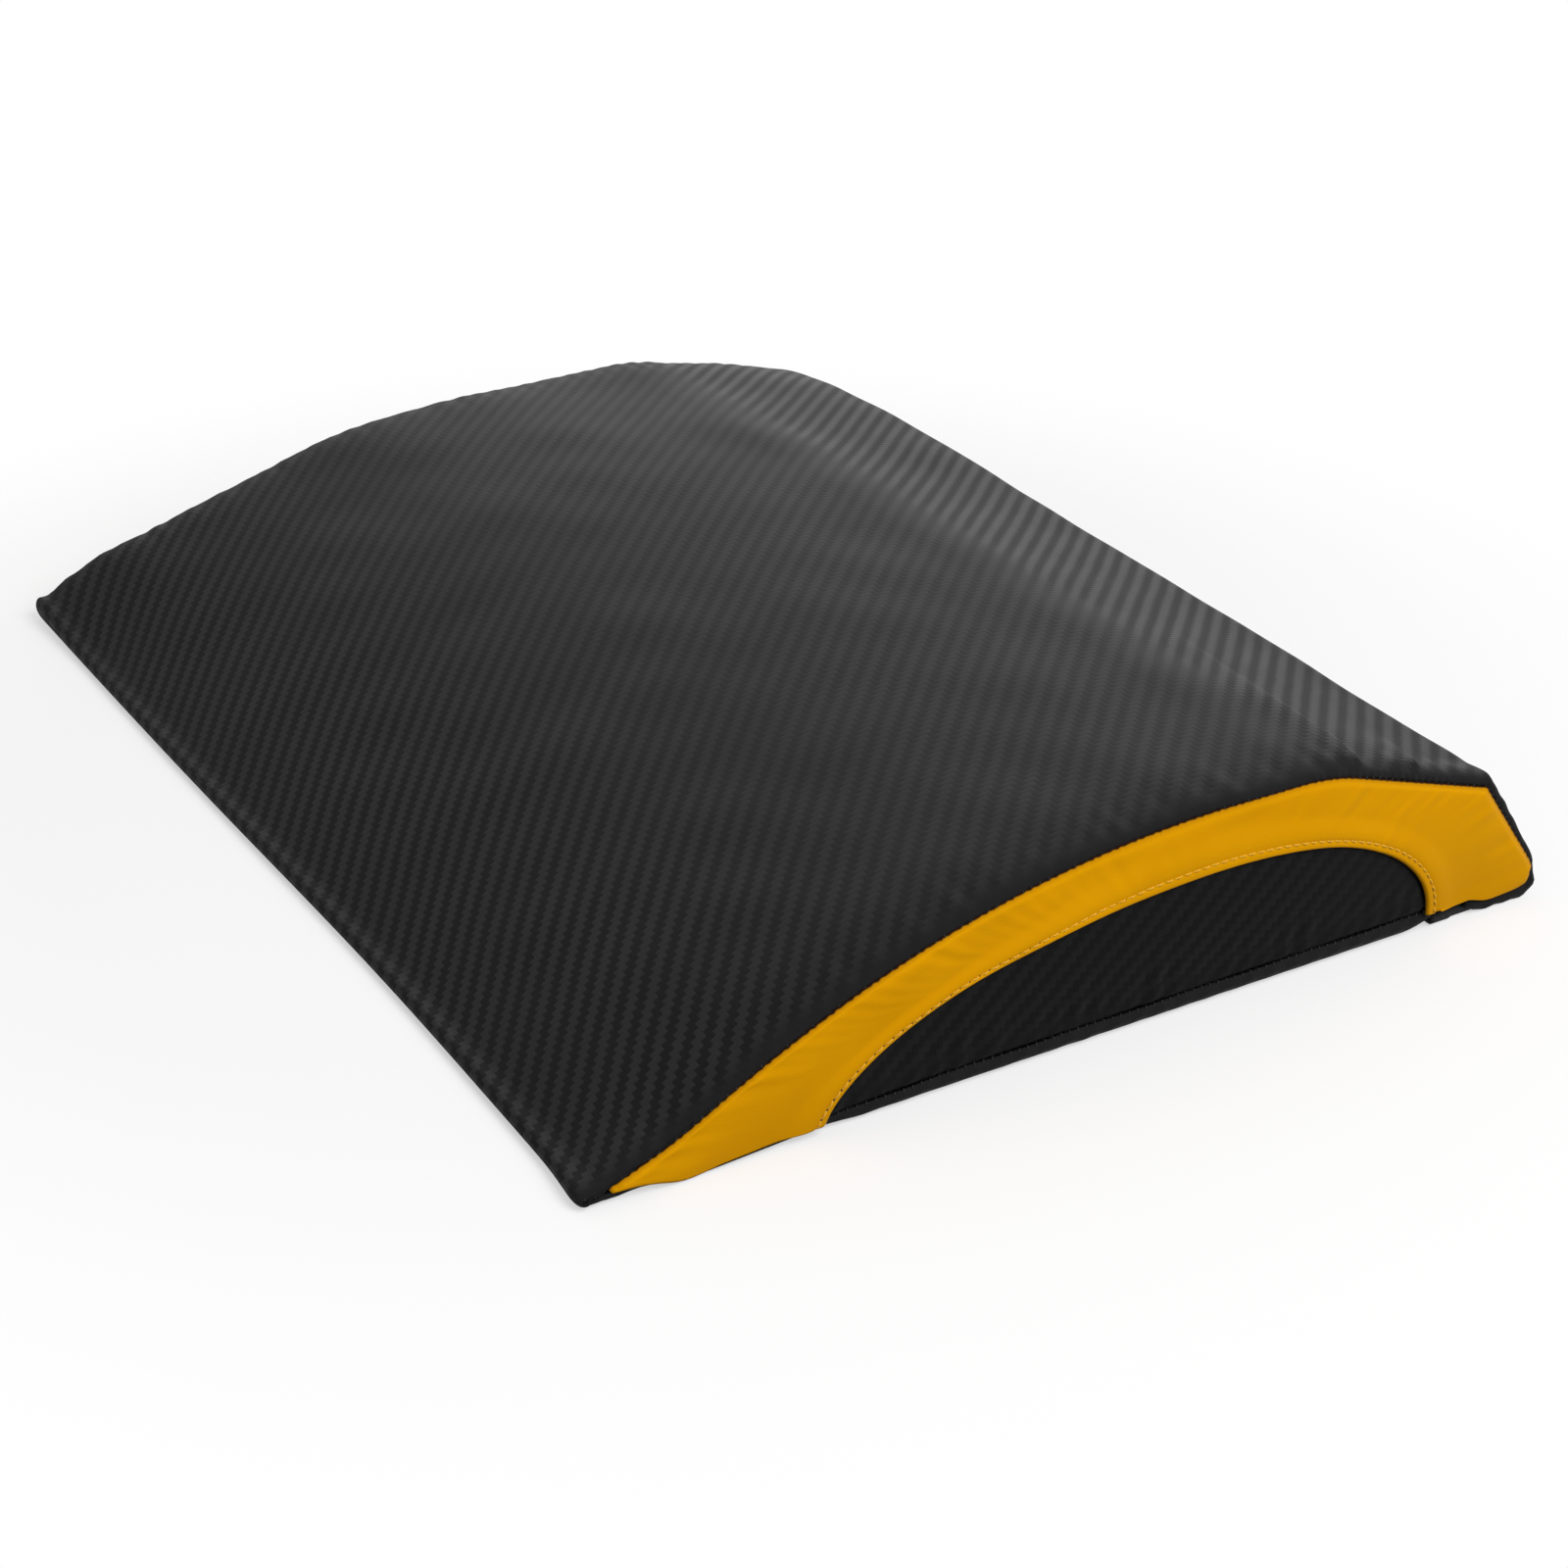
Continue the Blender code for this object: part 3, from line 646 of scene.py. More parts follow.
@dataclass(frozen=True)
class EnamelledMetal(Finish):
    """Die-cast metal under black enamel that has rubbed through in places."""

    enamel: tuple = (0.02, 0.02, 0.021, 1.0)
    bare: tuple = (0.36, 0.35, 0.33, 1.0)
    roughness: float = 0.27
    relief: float = 0.000012

    def paint(self, make: NodeMaker) -> None:
        """Add the finish's nodes.

        Args:
            make: The empty material's maker.
        """
        place = make.place()
        rubbed = make.ramp(make.noise(place, 420.0, 5.0, 0.65), 0.66, 0.78)
        peel = make.noise(place, 1500.0, 2.0)
        make.set(Base_Color=make.mix(rubbed, self.enamel, self.bare), Metallic=rubbed * 0.8 + 0.15,
                 Roughness=self.roughness + peel * 0.1 + rubbed * 0.12,
                 Normal=make.bump(peel, self.relief))


@dataclass(frozen=True)
class CutFoam(Finish):
    """Foam with open cells."""

    colour: tuple = (0.13, 0.13, 0.14, 1.0)
    shade: tuple = grey(0.05)
    cell_scale: float = 900.0
    relief: float = 0.0003

    def paint(self, make: NodeMaker) -> None:
        """Add the finish's nodes.

        Args:
            make: The empty material's maker.
        """
        inputs = {"Vector": make.place(), "Scale": self.cell_scale}
        cells = make.add("ShaderNodeTexVoronoi", {}, inputs, output="Distance")
        make.set(Base_Color=make.mix(cells, self.shade, self.colour), Roughness=0.95,
                 Normal=make.bump(cells, self.relief))


@dataclass
class Finishes:
    """All the finishes of the mat, each made once."""

    carbon: bpy.types.Material = field(default_factory=TwillVinyl("vinyl_twill").material)
    # A darker, lower-contrast copy of the top's twill for the upright inserts, which share the top's
    # vinyl: painted shade on the sides.
    side: bpy.types.Material = field(default_factory=TwillVinyl(
        "vinyl_twill_side", light=(0.0105, 0.0105, 0.011, 1.0), dark=(0.0072, 0.0072, 0.0075, 1.0),
        smooth=(0.0085, 0.0085, 0.009, 1.0), specular=0.04).material)
    base: bpy.types.Material = field(default_factory=TwillVinyl(
        "vinyl_twill_base", light=(0.016, 0.016, 0.0165, 1.0), light_roughness=0.55).material)
    yellow: bpy.types.Material = field(default_factory=SmoothVinyl("vinyl_amber").material)
    tape: bpy.types.Material = field(default_factory=WovenTape("tape_herringbone").material)
    teeth: bpy.types.Material = field(default_factory=MouldedPlastic("teeth_plastic").material)
    metal: bpy.types.Material = field(default_factory=EnamelledMetal("slider_enamel").material)
    foam: bpy.types.Material = field(default_factory=CutFoam("foam_cut").material)
    amber_thread: bpy.types.Material = field(default_factory=Thread(
        "thread_amber", (0.88, 0.50, 0.04, 1.0), (0.62, 0.31, 0.01, 1.0)).material)
    black_thread: bpy.types.Material = field(default_factory=Thread(
        "thread_black", grey(0.03), grey(0.008)).material)
    # Dark brown painted shade for the needle holes.
    needle_hole: bpy.types.Material = field(default_factory=Thread(
        "needle_hole", (0.06, 0.02, 0.002, 1.0), (0.03, 0.01, 0.001, 1.0)).material)


# Meshes


def numbers(grid: np.ndarray) -> np.ndarray:
    """Return the numbers of a grid's points, counted row by row."""
    return np.arange(grid.shape[0] * grid.shape[1]).reshape(grid.shape[:2])


def quads(number: np.ndarray) -> np.ndarray:
    """Return the faces between points whose numbers form a grid, four numbers in each row."""
    corners = (number[:-1, :-1], number[:-1, 1:], number[1:, 1:], number[1:, :-1])
    return np.stack(corners, axis=-1).reshape(-1, 4)


def rim(number: np.ndarray) -> np.ndarray:
    """Return the numbers of a grid's border points, in order round it."""
    return np.concatenate([number[0, :-1], number[:-1, -1], number[-1, :0:-1], number[:0:-1, 0]])


def add_mesh(name: str, points: np.ndarray, faces: list, weave: np.ndarray | None = None,
             finish: bpy.types.Material | None = None) -> bpy.types.Object:
    """Make an object from points and faces.

    Args:
        name: The object's name.
        points: One point in each row.
        faces: Point numbers of each face.
        weave: Cloth coordinates, one row a point.
        finish: The material.

    Returns:
        The object.
    """
    mesh = bpy.data.meshes.new(name)
    mesh.from_pydata(points.tolist(), [], [list(face) for face in faces])
    if weave is not None:
        store(mesh, WEAVE, weave)
    mesh.shade_smooth()
    if finish is not None:
        mesh.materials.append(finish)
    made = bpy.data.objects.new(name, mesh)
    bpy.context.scene.collection.objects.link(made)
    return made


def store(mesh: bpy.types.Mesh, name: str, vectors: np.ndarray) -> None:
    """Keep one vector a point in a mesh, as an attribute."""
    attribute = mesh.attributes.new(name, "FLOAT_VECTOR", "POINT")
    attribute.data.foreach_set("vector", np.ascontiguousarray(vectors, dtype=np.float32).ravel())


def closed_sheet(node: str, ending: str, slot: Slot, grid: np.ndarray, weave: np.ndarray,
                 thickness: float, outward: int, finish: bpy.types.Material) -> bpy.types.Object:
    """Make a closed sheet from the grid of its outer face, and settle it.

    Args:
        node: The CAD node that it stands for.
        ending: What follows the node's name in the object's name.
        slot: Its material slot in the record.
        grid: The outer face as rows, columns and three components.
        weave: Cloth coordinates in an array like the grid.
        thickness: The sheet's thickness.
        outward: 1 where the grid's own normals point outwards, and -1 where they point inwards.
        finish: The material.

    Returns:
        The object.
    """
    number = numbers(grid)
    inner = grid - grid_normals(grid) * (outward * thickness)
    outer_faces = quads(number)
    inner_faces = outer_faces[:, ::-1] + number.size
    edge = rim(number)
    after = np.roll(edge, -1)
    edge_faces = np.stack([after, edge, edge + number.size, after + number.size], axis=-1)
    faces = np.concatenate([outer_faces, inner_faces, edge_faces])
    if outward < 0:
        faces = faces[:, ::-1]
    points = np.concatenate([grid.reshape(-1, 3), inner.reshape(-1, 3)])
    cloth = np.concatenate([weave.reshape(-1, 3)] * 2)
    made = add_mesh(f"{node}_{ending}", points, faces, cloth, finish)
    face_outwards(made)
    return settle(made, slot, node)


def closed_tube(name: str, grid: np.ndarray, finish: bpy.types.Material) -> bpy.types.Object:
    """Make a closed body from the rings of its surface, with a flat face on each end.

    Args:
        name: The object's name.
        grid: The rings as rows, columns and three components.
        finish: The material.

    Returns:
        The object.
    """
    number = numbers(grid)
    faces = quads(looped(number)).tolist() + [number[0].tolist(), number[-1, ::-1].tolist()]
    made = add_mesh(name, grid.reshape(-1, 3), faces, finish=finish)
    face_outwards(made)
    return made


def face_outwards(made: bpy.types.Object) -> None:
    """Turn a closed mesh's faces outwards.

    Args:
        made: The object with the mesh.
    """
    shape = bmesh.new()
    shape.from_mesh(made.data)
    bmesh.ops.recalc_face_normals(shape, faces=shape.faces)
    if shape.calc_volume(signed=True) < 0:
        bmesh.ops.reverse_faces(shape, faces=shape.faces)
    shape.to_mesh(made.data)
    shape.free()


def settle(made: bpy.types.Object, slot: Slot, *nodes: str) -> bpy.types.Object:
    """Tie a finished piece to the mat and hide the CAD nodes that it stands for.

    Args:
        made: The piece.
        slot: Not used.
        *nodes: The CAD nodes that it replaces.

    Returns:
        The piece.
    """
    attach(made, MAT)
    if nodes:
        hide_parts(*nodes)
    LOG.info("%s: %d faces, on %s", made.name, len(made.data.polygons), MAT)
    return made


# Pieces that repeat along a path


class GrowthTree(TreeMaker):
    """A Geometry Nodes tree with named inputs that repeats a shape along the path that it gets."""

    def __init__(self, name: str, **sizes: float) -> None:
        """Make a tree with a geometry input and output.

        Args:
            name: The tree's name.
            **sizes: The named inputs with their values.
        """
        group = bpy.data.node_groups.new(name, "GeometryNodeTree")
        super().__init__(group)
        sockets = group.interface
        sockets.new_socket("Path", in_out="INPUT", socket_type="NodeSocketGeometry")
        self.sizes = sizes
        for label in sizes:
            sockets.new_socket(label, in_out="INPUT", socket_type="NodeSocketFloat")
        sockets.new_socket("Pieces", in_out="OUTPUT", socket_type="NodeSocketGeometry")
        self.start = group.nodes.new("NodeGroupInput")
        self.end = group.nodes.new("NodeGroupOutput")

    def given(self, label: str) -> Value:
        """Return one of the tree's inputs."""
        return Value(self, self.start.outputs[label])

    def vector(self, x: "Value | float", y: "Value | float", z: "Value | float") -> Value:
        """Return a vector of three values."""
        return self.add("ShaderNodeCombineXYZ", {}, {0: x, 1: y, 2: z})

    def random(self, low: float, high: float, seed: int) -> Value:
        """Return a random number for each point."""
        return self.add("FunctionNodeRandomValue", {"data_type": "FLOAT"},
                        {2: low, 3: high, 8: seed}, output=1)

    def turned(self, axis: str) -> Value:
        """Return the turn that lays a shape's axis along the path and its Z upwards.

        Args:
            axis: The axis, "X" or "Y".

        Returns:
            The turn for each point.
        """
        run = self.add("GeometryNodeInputTangent")
        up = self.add("GeometryNodeInputNamedAttribute", {"data_type": "FLOAT_VECTOR"},
                      {"Name": UPWARD}, output="Attribute")
        laid = self.add("FunctionNodeAlignRotationToVector", {"axis": axis}, {"Vector": run})
        return self.add("FunctionNodeAlignRotationToVector", {"axis": "Z", "pivot_axis": axis},
                        {"Rotation": laid, "Vector": up})

    def repeat(self, shape: Value, axis: str, finish: bpy.types.Material,
               scale: "Value | float" = 1.0) -> None:
        """Repeat a shape at a pitch along the path, and end the tree.

        Args:
            shape: The geometry to repeat.
            axis: The shape's axis that lies along the path.
            finish: The material.
            scale: The size of each copy.
        """
        path = self.add("GeometryNodeMeshToCurve", {}, {"Mesh": self.given("Path")})
        spaced = self.add("GeometryNodeResampleCurve", {"mode": "LENGTH"},
                          {"Curve": path, "Length": self.given("Pitch")})
        size = self.vector(scale, scale, scale)
        copies = self.add("GeometryNodeInstanceOnPoints", {}, {
            "Points": spaced, "Instance": shape, "Rotation": self.turned(axis), "Scale": size})
        whole = self.add("GeometryNodeRealizeInstances", {}, {0: copies})
        dressed = self.add("GeometryNodeSetMaterial", {}, {"Geometry": whole, "Material": finish})
        self.feed(self.end.inputs[0], dressed)

    def grow(self, name: str, points: np.ndarray, upward: np.ndarray) -> bpy.types.Object:
        """Run the tree on a path and return its result as a plain mesh.

        Args:
            name: The object's name.
            points: The path's points.
            upward: The way up at each point, or one for all.

        Returns:
            The object, without its modifier.
        """
        mesh = bpy.data.meshes.new(name)
        mesh.from_pydata(points.tolist(), [(i, i + 1) for i in range(len(points) - 1)], [])
        store(mesh, UPWARD, np.broadcast_to(upward, points.shape))
        made = bpy.data.objects.new(name, mesh)
        bpy.context.scene.collection.objects.link(made)
        growing = made.modifiers.new("grow", "NODES")
        growing.node_group = self.tree
        for item in self.tree.interface.items_tree:
            if item.name in self.sizes:
                growing[item.identifier] = self.sizes[item.name]
        grown = made.evaluated_get(bpy.context.evaluated_depsgraph_get())
        made.data = bpy.data.meshes.new_from_object(grown)
        made.modifiers.clear()
        made.data.shade_smooth()
        return made


@dataclass(frozen=True)
class ThreadLine:
    """One line of stitches: short arcs of thread whose ends dive into their needle holes."""

    pitch: float
    length: float
    diameter: float
    rise: float
    sink: float
    seed: int = 5
    uneven: float = 0.05
    sides: int = 6
    bends: int = 6

    def stitches(self, name: str, points: np.ndarray, upward: np.ndarray,
                 finish: bpy.types.Material, across: bool = False) -> bpy.types.Object:
        """Lay the stitches along a path.

        Args:
            name: The object's name.
            points: The path's points.
            upward: The way out of the cloth at each point.
            finish: The thread.
            across: Whether the stitches cross the path, as over a butted seam.

        Returns:
            The object.
        """
        grow = GrowthTree(name, Pitch=self.pitch, Length=self.length, Diameter=self.diameter,
                          Rise=self.rise, Sink=self.sink)
        half = grow.given("Length") / 2
        low = 0.0 - grow.given("Sink")
        arc = grow.add("GeometryNodeCurveQuadraticBezier", {}, {
            "Resolution": self.bends, "Start": grow.vector(0.0 - half, 0.0, low),
            "Middle": grow.vector(0.0, 0.0, grow.given("Rise") * 2 - low),
            "End": grow.vector(half, 0.0, low)})
        ring = grow.add("GeometryNodeCurvePrimitiveCircle", {}, {
            "Resolution": self.sides, "Radius": grow.given("Diameter") / 2})
        thread = grow.add("GeometryNodeCurveToMesh", {}, {
            "Curve": arc, "Profile Curve": ring, "Fill Caps": True})
        scale = grow.random(1 - self.uneven, 1 + self.uneven, self.seed)
        grow.repeat(thread, "Y" if across else "X", finish, scale)
        return grow.grow(name, points, upward)

    def holes(self, name: str, points: np.ndarray, upward: np.ndarray,
              finish: bpy.types.Material) -> bpy.types.Object:
        """Set the needle holes as flat dark lenses of painted shade, between the stitches of the
        same path.

        Args:
            name: The object's name.
            points: The path's points.
            upward: The way out of the cloth at each point.
            finish: The dark brown that paints the shade inside the holes.

        Returns:
            The object.
        """
        grow = GrowthTree(name, Pitch=self.pitch, Width=self.diameter * 1.3)
        ball = grow.add("GeometryNodeMeshUVSphere", {}, {
            "Segments": 8, "Rings": 4, "Radius": grow.given("Width") / 2})
        flat = grow.add("GeometryNodeTransform", {}, {
            "Geometry": ball, "Scale": (1.1, 1.0, 0.35)})
        grow.repeat(flat, "X", finish)
        steps = travelled(points)
        shifted = np.linspace(self.pitch / 2, steps[-1], len(points))
        return grow.grow(name, along(steps, points, shifted), along(steps, upward, shifted))


# Profile of the mat


@dataclass(frozen=True)
class Corner:
    """A corner of the middle profile, with the cover's lift over its side seam and its roll."""

    x: float
    z: float
    radius: float
    lift: float
    roll: float

    def place(self) -> Vector:
        """Return the corner's place in the profile's plane."""
        return Vector((self.x, self.z))


@dataclass
class MiddleProfile:
    """The closed middle profile of the mat: over the arch, round the thick end and back below."""

    length: float = 0.305
    width: float = 0.380
    arch_length: float = 0.190
    plateau_length: float = 0.031
    back_length: float = 0.063
    edge_height: float = 0.0046
    edge_land: float = 0.0045
    crest_height: float = 0.0628
    shoulder_drop: float = 0.0165
    foot_height: float = 0.0125
    fairing_radius: float = 0.030
    kink_radius: float = 0.075
    shoulder_radius: float = 0.007
    heel_radius: float = 0.008
    foot_radius: float = 0.006
    side_bulge: float = 0.002
    top_roll: float = 0.022
    under_roll: float = 0.008
    flank_roll: float = 0.0045
    toe_roll: float = 0.02
    heel_roll: float = 0.0024
    heel_swell: float = 0.0024
    front_lift: float = 0.0016
    top_lift: float = 0.0035
    shoulder_lift: float = 0.0058
    end_lift: float = 0.0040
    under_lift: float = 0.0048
    lip_lift: float = 0.0040
    zip_lift: float = 0.0058
    corner_lift: float = 0.0042
    toe_lift: float = 0.0024
    flank_lift: float = 0.0050
    zip_inset: float = 0.032
    zip_window: float = 0.012
    lip_rise: float = 0.003
    lip_run: float = 0.006
    lip_radius: float = 0.012
    flank_run: float = 0.100
    flank_fall_run: float = 0.074
    flank_fall: float = 0.8
    toe_run: float = 0.056
    toe_fall_run: float = 0.026
    toe_fall: float = 0.2
    corner_run: float = 0.013
    arch_steps: int = 60
    fillet_steps: int = 12
    spacing: float = 0.0004
    blend_length: float = 0.012

    def __post_init__(self) -> None:
        """Work out the profile's points, normals, lifts and rolls by arc length."""
        self.front_x = -self.length / 2
        self.end_x = self.length / 2
        self.seam_y = self.width / 2 - self.side_bulge
        self.zip_x = self.end_x - self.zip_inset
        top = self._rounded(self._top_corners())
        bottom = self._rounded(self._bottom_corners())
        stations = np.concatenate([top, bottom])
        arcs = travelled(stations[:, :2])
        self.rear_lip = arcs[len(top) - 1]
        self.front_lip = arcs[len(top)]
        self.total = arcs[-1]
        self.arcs = np.linspace(0.0, self.total, int(self.total / self.spacing))
        table = along(arcs, stations, self.arcs)
        self.points = table[:, :2]
        self.lift = self._blended(table[:, 2])
        self.roll = self._blended(table[:, 3])
        ahead = np.gradient(self.points, axis=0)
        ahead /= np.linalg.norm(ahead, axis=1, keepdims=True)
        self.normals = np.stack([-ahead[:, 1], ahead[:, 0]], axis=-1)
        self.seam = self.points - self.normals * self.lift[:, None]
        self.heel = self.arcs[np.argmax(self.seam[:, 0])]

    def _blended(self, values: np.ndarray) -> np.ndarray:
        """Even values out along the profile, with their ends kept.

        Args:
            values: One value at each of the profile's points.

        Returns:
            The evened values.
        """
        reach = int(self.blend_length / self.spacing / 2)
        padded = np.pad(values, reach, mode="edge")
        window = np.hanning(2 * reach + 3)[1:-1]
        return np.convolve(padded, window / window.sum(), mode="valid")

    def _arch(self) -> list[Corner]:
        """Lay out the arch: a circle that is level at the crest and meets the front land.

        Returns:
            The corners from the land to the crest.
        """
        rise = self.crest_height - self.edge_height
        run = self.arch_length - self.edge_land
        radius = (run ** 2 + rise ** 2) / (2 * rise)
        crest_x = self.front_x + self.arch_length
        corners = []
        for share in np.linspace(0.0, 1.0, self.arch_steps + 1)[1:]:
            angle = math.asin(run / radius) * (1 - share)
            blend = min(1.0, 3 * share)
            corners.append(Corner(
                crest_x - radius * math.sin(angle),
                self.crest_height - radius * (1 - math.cos(angle)), 0,
                self.front_lift + (self.top_lift - self.front_lift) * blend,
                self.under_roll + (self.top_roll - self.under_roll) * blend))
        return corners

    def _top_corners(self) -> list[Corner]:
        """Lay out the profile's upper run.

        Returns:
            The corners from the front seam over the arch to the zip's rear lip.
        """
        nose = self.edge_height / 2
        kink_x = self.front_x + self.arch_length + self.plateau_length
        heel_x = self.end_x + self.heel_swell
        lip_x = self.zip_x + self.zip_window / 2
        front = (self.front_lift, self.under_roll)
        return [
            Corner(self.front_x, nose, 0, *front),
            Corner(self.front_x, self.edge_height, nose, *front),
            Corner(self.front_x + self.edge_land, self.edge_height, self.fairing_radius, *front),
            *self._arch(),
            Corner(kink_x, self.crest_height, self.kink_radius, self.top_lift, self.top_roll),
            Corner(kink_x + self.back_length, self.crest_height - self.shoulder_drop,
                   self.shoulder_radius, self.shoulder_lift, self.top_roll),
            Corner(heel_x, self.foot_height, self.heel_radius, self.end_lift, self.top_roll),
            Corner(heel_x, 0, self.foot_radius, self.under_lift, self.heel_roll),
            Corner(lip_x + self.lip_run, 0, self.lip_radius, self.lip_lift, self.heel_roll),
            Corner(lip_x, self.lip_rise, 0, self.zip_lift - self.lip_rise, self.heel_roll),
        ]

    def _bottom_corners(self) -> list[Corner]:
        """Lay out the profile's lower run.

        Returns:
            The corners from the zip's front lip back to the front seam.
        """
        nose = self.edge_height / 2
        lip_x = self.zip_x - self.zip_window / 2
        front = (self.front_lift, self.under_roll)
        flat = ((self.flank_run, self.flank_lift, self.flank_roll),
                (self.flank_fall_run, self.flank_lift * self.flank_fall, self.flank_roll),
                (self.toe_run, self.toe_lift, self.toe_roll),
                (self.toe_fall_run, self.toe_lift * self.toe_fall, self.toe_roll),
                (self.corner_run, self.corner_lift, self.flank_roll))
        return [
            Corner(lip_x, self.lip_rise, 0, self.zip_lift - self.lip_rise, self.flank_roll),
            Corner(lip_x - self.lip_run, 0, self.lip_radius, self.zip_lift, self.flank_roll),
            *(Corner(self.front_x + run, 0, 0, lift, roll) for run, lift, roll in flat),
            Corner(self.front_x, 0, nose, *front),
            Corner(self.front_x, nose, 0, *front),
        ]

    def _rounded(self, corners: list[Corner]) -> np.ndarray:
        """Return rows of x, z, lift and roll along a run of corners with their fillets.

        Args:
            corners: The corners in order.

        Returns:
            One row for each point.
        """
        rows = []
        for before, corner, after in zip([None, *corners], corners, [*corners[1:], None]):
            rows += (self._fillet(before, corner, after) if corner.radius
                     else [(corner.x, corner.z, corner.lift, corner.roll)])
        kept = rows[:1]
        for row in rows[1:]:
            if math.dist(row[:2], kept[-1][:2]) > self.spacing / 20:
                kept.append(row)
        return np.array(kept)

    def _fillet(self, before: Corner, corner: Corner, after: Corner) -> list[tuple]:
        """Round one corner off, as far as its two sides leave room.

        Args:
            before: The corner before it.
            corner: The corner to round.
            after: The corner after it.

        Returns:
            Rows of x, z, lift and roll.
        """
        here = corner.place()
        back = before.place() - here
        ahead = after.place() - here
        half_angle = back.angle(ahead) / 2
        room = [side.length / (2 if near.radius else 1)
                for side, near in ((back, before), (ahead, after))]
        reach = min(corner.radius / math.tan(half_angle), *room)
        radius = reach * math.tan(half_angle)
        middle = (back.normalized() + ahead.normalized()).normalized()
        centre = here + middle * (radius / math.sin(half_angle))
        first = here + back.normalized() * reach - centre
        last = here + ahead.normalized() * reach - centre
        rows = []
        for share in np.linspace(0.0, 1.0, self.fillet_steps + 1):
            point = centre + first.slerp(last, share).normalized() * radius
            rows.append((point.x, point.y, corner.lift, corner.roll))
        return rows

    def seam_at(self, arc: np.ndarray) -> np.ndarray:
        """Return the side seam's x and z at places along the profile."""
        return along(self.arcs, self.seam, arc)

    def lower_height(self, x: np.ndarray) -> np.ndarray:
        """Return the height of the side seam below the mat at each x."""
        return self._height(self.seam[self.arcs > self.heel][::-1], x)

    def upper_height(self, x: np.ndarray) -> np.ndarray:
        """Return the height of the side seam over the arch at each x."""
        return self._height(self.seam[self.arcs <= self.heel], x)

    def _height(self, line: np.ndarray, x: np.ndarray) -> np.ndarray:
        """Return the height at each x of a line that runs towards the thick end."""
        return np.interp(x, np.maximum.accumulate(line[:, 0]), line[:, 1])


class CrossRows:
    """Rows from the near side seam across the mat to the far one, by how far they have rolled."""

    def __init__(self, roll_steps: int, middle_steps: int) -> None:
        """Lay the rows out.

        Args:
            roll_steps: Steps of the roll beside each side seam.
            middle_steps: Steps of the plain stretch between the two rolls.
        """
        turn = np.linspace(0.0, 1.0, roll_steps + 1)
        angle = turn * math.pi / 2
        roll = 1 - np.cos(angle)
        drop = 1 - np.sin(angle)
        middle = np.linspace(-1.0, 1.0, middle_steps + 1)[1:-1]
        self.place = np.concatenate([turn, 1.5 + middle / 2, 3 - turn[::-1]])
        self.reach = np.concatenate([-np.ones_like(roll), middle, np.ones_like(roll)])
        self.roll = np.concatenate([-roll, middle, roll[::-1]])
        self.drop = np.concatenate([drop, np.zeros_like(middle), drop[::-1]])


@dataclass(frozen=True)
class SoftPlace:
    """A place where the foam stands higher, or has sunk, fading out round its middle."""

    run: float
    y: float
    reach_x: float
    reach_y: float
    height: float
    evenness: float = 2.0
    seam_fade: float = 0.0


@dataclass(frozen=True)
class CornerPull:
    """How a sewn corner at the front has been pulled outwards and forwards, and has swollen."""

    side: Side
    outward: float
    forward: float
    rise: float
    reach: float


@dataclass
class FoamSet:
    """The uneven set of the foam and its filled cover, which every sewn piece follows."""

    profile: MiddleProfile
    base_share: float = 0.15
    low_share: float = 0.3
    edge_fade: float = 0.03
    corners: tuple = (CornerPull(Side.NEAR, 0.0002, 0.0018, 0.0008, 0.014),
                      CornerPull(Side.FAR, 0.0070, 0.0010, 0.0040, 0.024))
    bow: float = 0.0022
    bow_y: float = -0.07
    bow_width: float = 0.10
    bow_reach: float = 0.03
    places: tuple = (
        SoftPlace(0.160, 0.188, 0.090, 0.070, -0.0056, 4.0),
        SoftPlace(0.108, 0.188, 0.036, 0.040, 0.0036),
        SoftPlace(0.008, 0.188, 0.040, 0.050, 0.0058),
        SoftPlace(0.016, -0.188, 0.042, 0.028, -0.0038),
        SoftPlace(0.285, 0.100, 0.030, 0.095, 0.0042, seam_fade=0.045),
        SoftPlace(0.285, -0.172, 0.030, 0.075, -0.0034, seam_fade=0.014),
    )

    def __post_init__(self) -> None:
        """Keep the height of the top at each place along the mat."""
        profile = self.profile
        shoulder_x = (profile.front_x + profile.arch_length + profile.plateau_length
                      + profile.back_length)
        kept = (profile.arcs < profile.heel) & (profile.points[:, 0] < shoulder_x)
        self.known_x = np.maximum.accumulate(profile.points[kept, 0])
        self.known_z = np.maximum(profile.points[kept, 1], profile.edge_height)

    def shaped(self, points: np.ndarray) -> np.ndarray:
        """Return points moved up or down with the foam.

        Args:
            points: Points, with their three components last.

        Returns:
            The moved points.
        """
        x, y, z = np.moveaxis(points, -1, 0)
        run = x - self.profile.front_x
        top = np.interp(x, self.known_x, self.known_z)
        base = top * self.base_share
        share = np.clip((z - base) / (top - base), 0.0, 1.0)
        rise = np.zeros_like(x)
        thin = smooth_step(run, 0.0, self.edge_fade)
        for place in self.places:
            away = np.abs((run - place.run) / place.reach_x)
            beside = (y - place.y) / place.reach_y
            bump = place.height * np.exp(-away ** place.evenness - beside ** 2)
            if place.seam_fade:
                bump = bump * smooth_step(self.profile.seam_y - np.abs(y), 0.0, place.seam_fade)
            rise += bump * thin
        moved = points.copy()
        moved[..., 2] = z + rise * share
        bow = self.bow * bell(y - self.bow_y, self.bow_width)
        moved[..., 0] += bow * bell(run, self.bow_reach)
        for corner in self.corners:
            beside = self.profile.seam_y - y * corner.side.value
            near = np.exp(-(run / corner.reach) ** 2 - (beside / corner.reach) ** 2)
            moved[..., 0] -= corner.forward * near
            moved[..., 1] += corner.side.value * corner.outward * near
            high = np.minimum(z / self.profile.edge_height, 1.0)
            moved[..., 2] += corner.rise * near * (self.low_share + (1 - self.low_share) * high)
        return moved


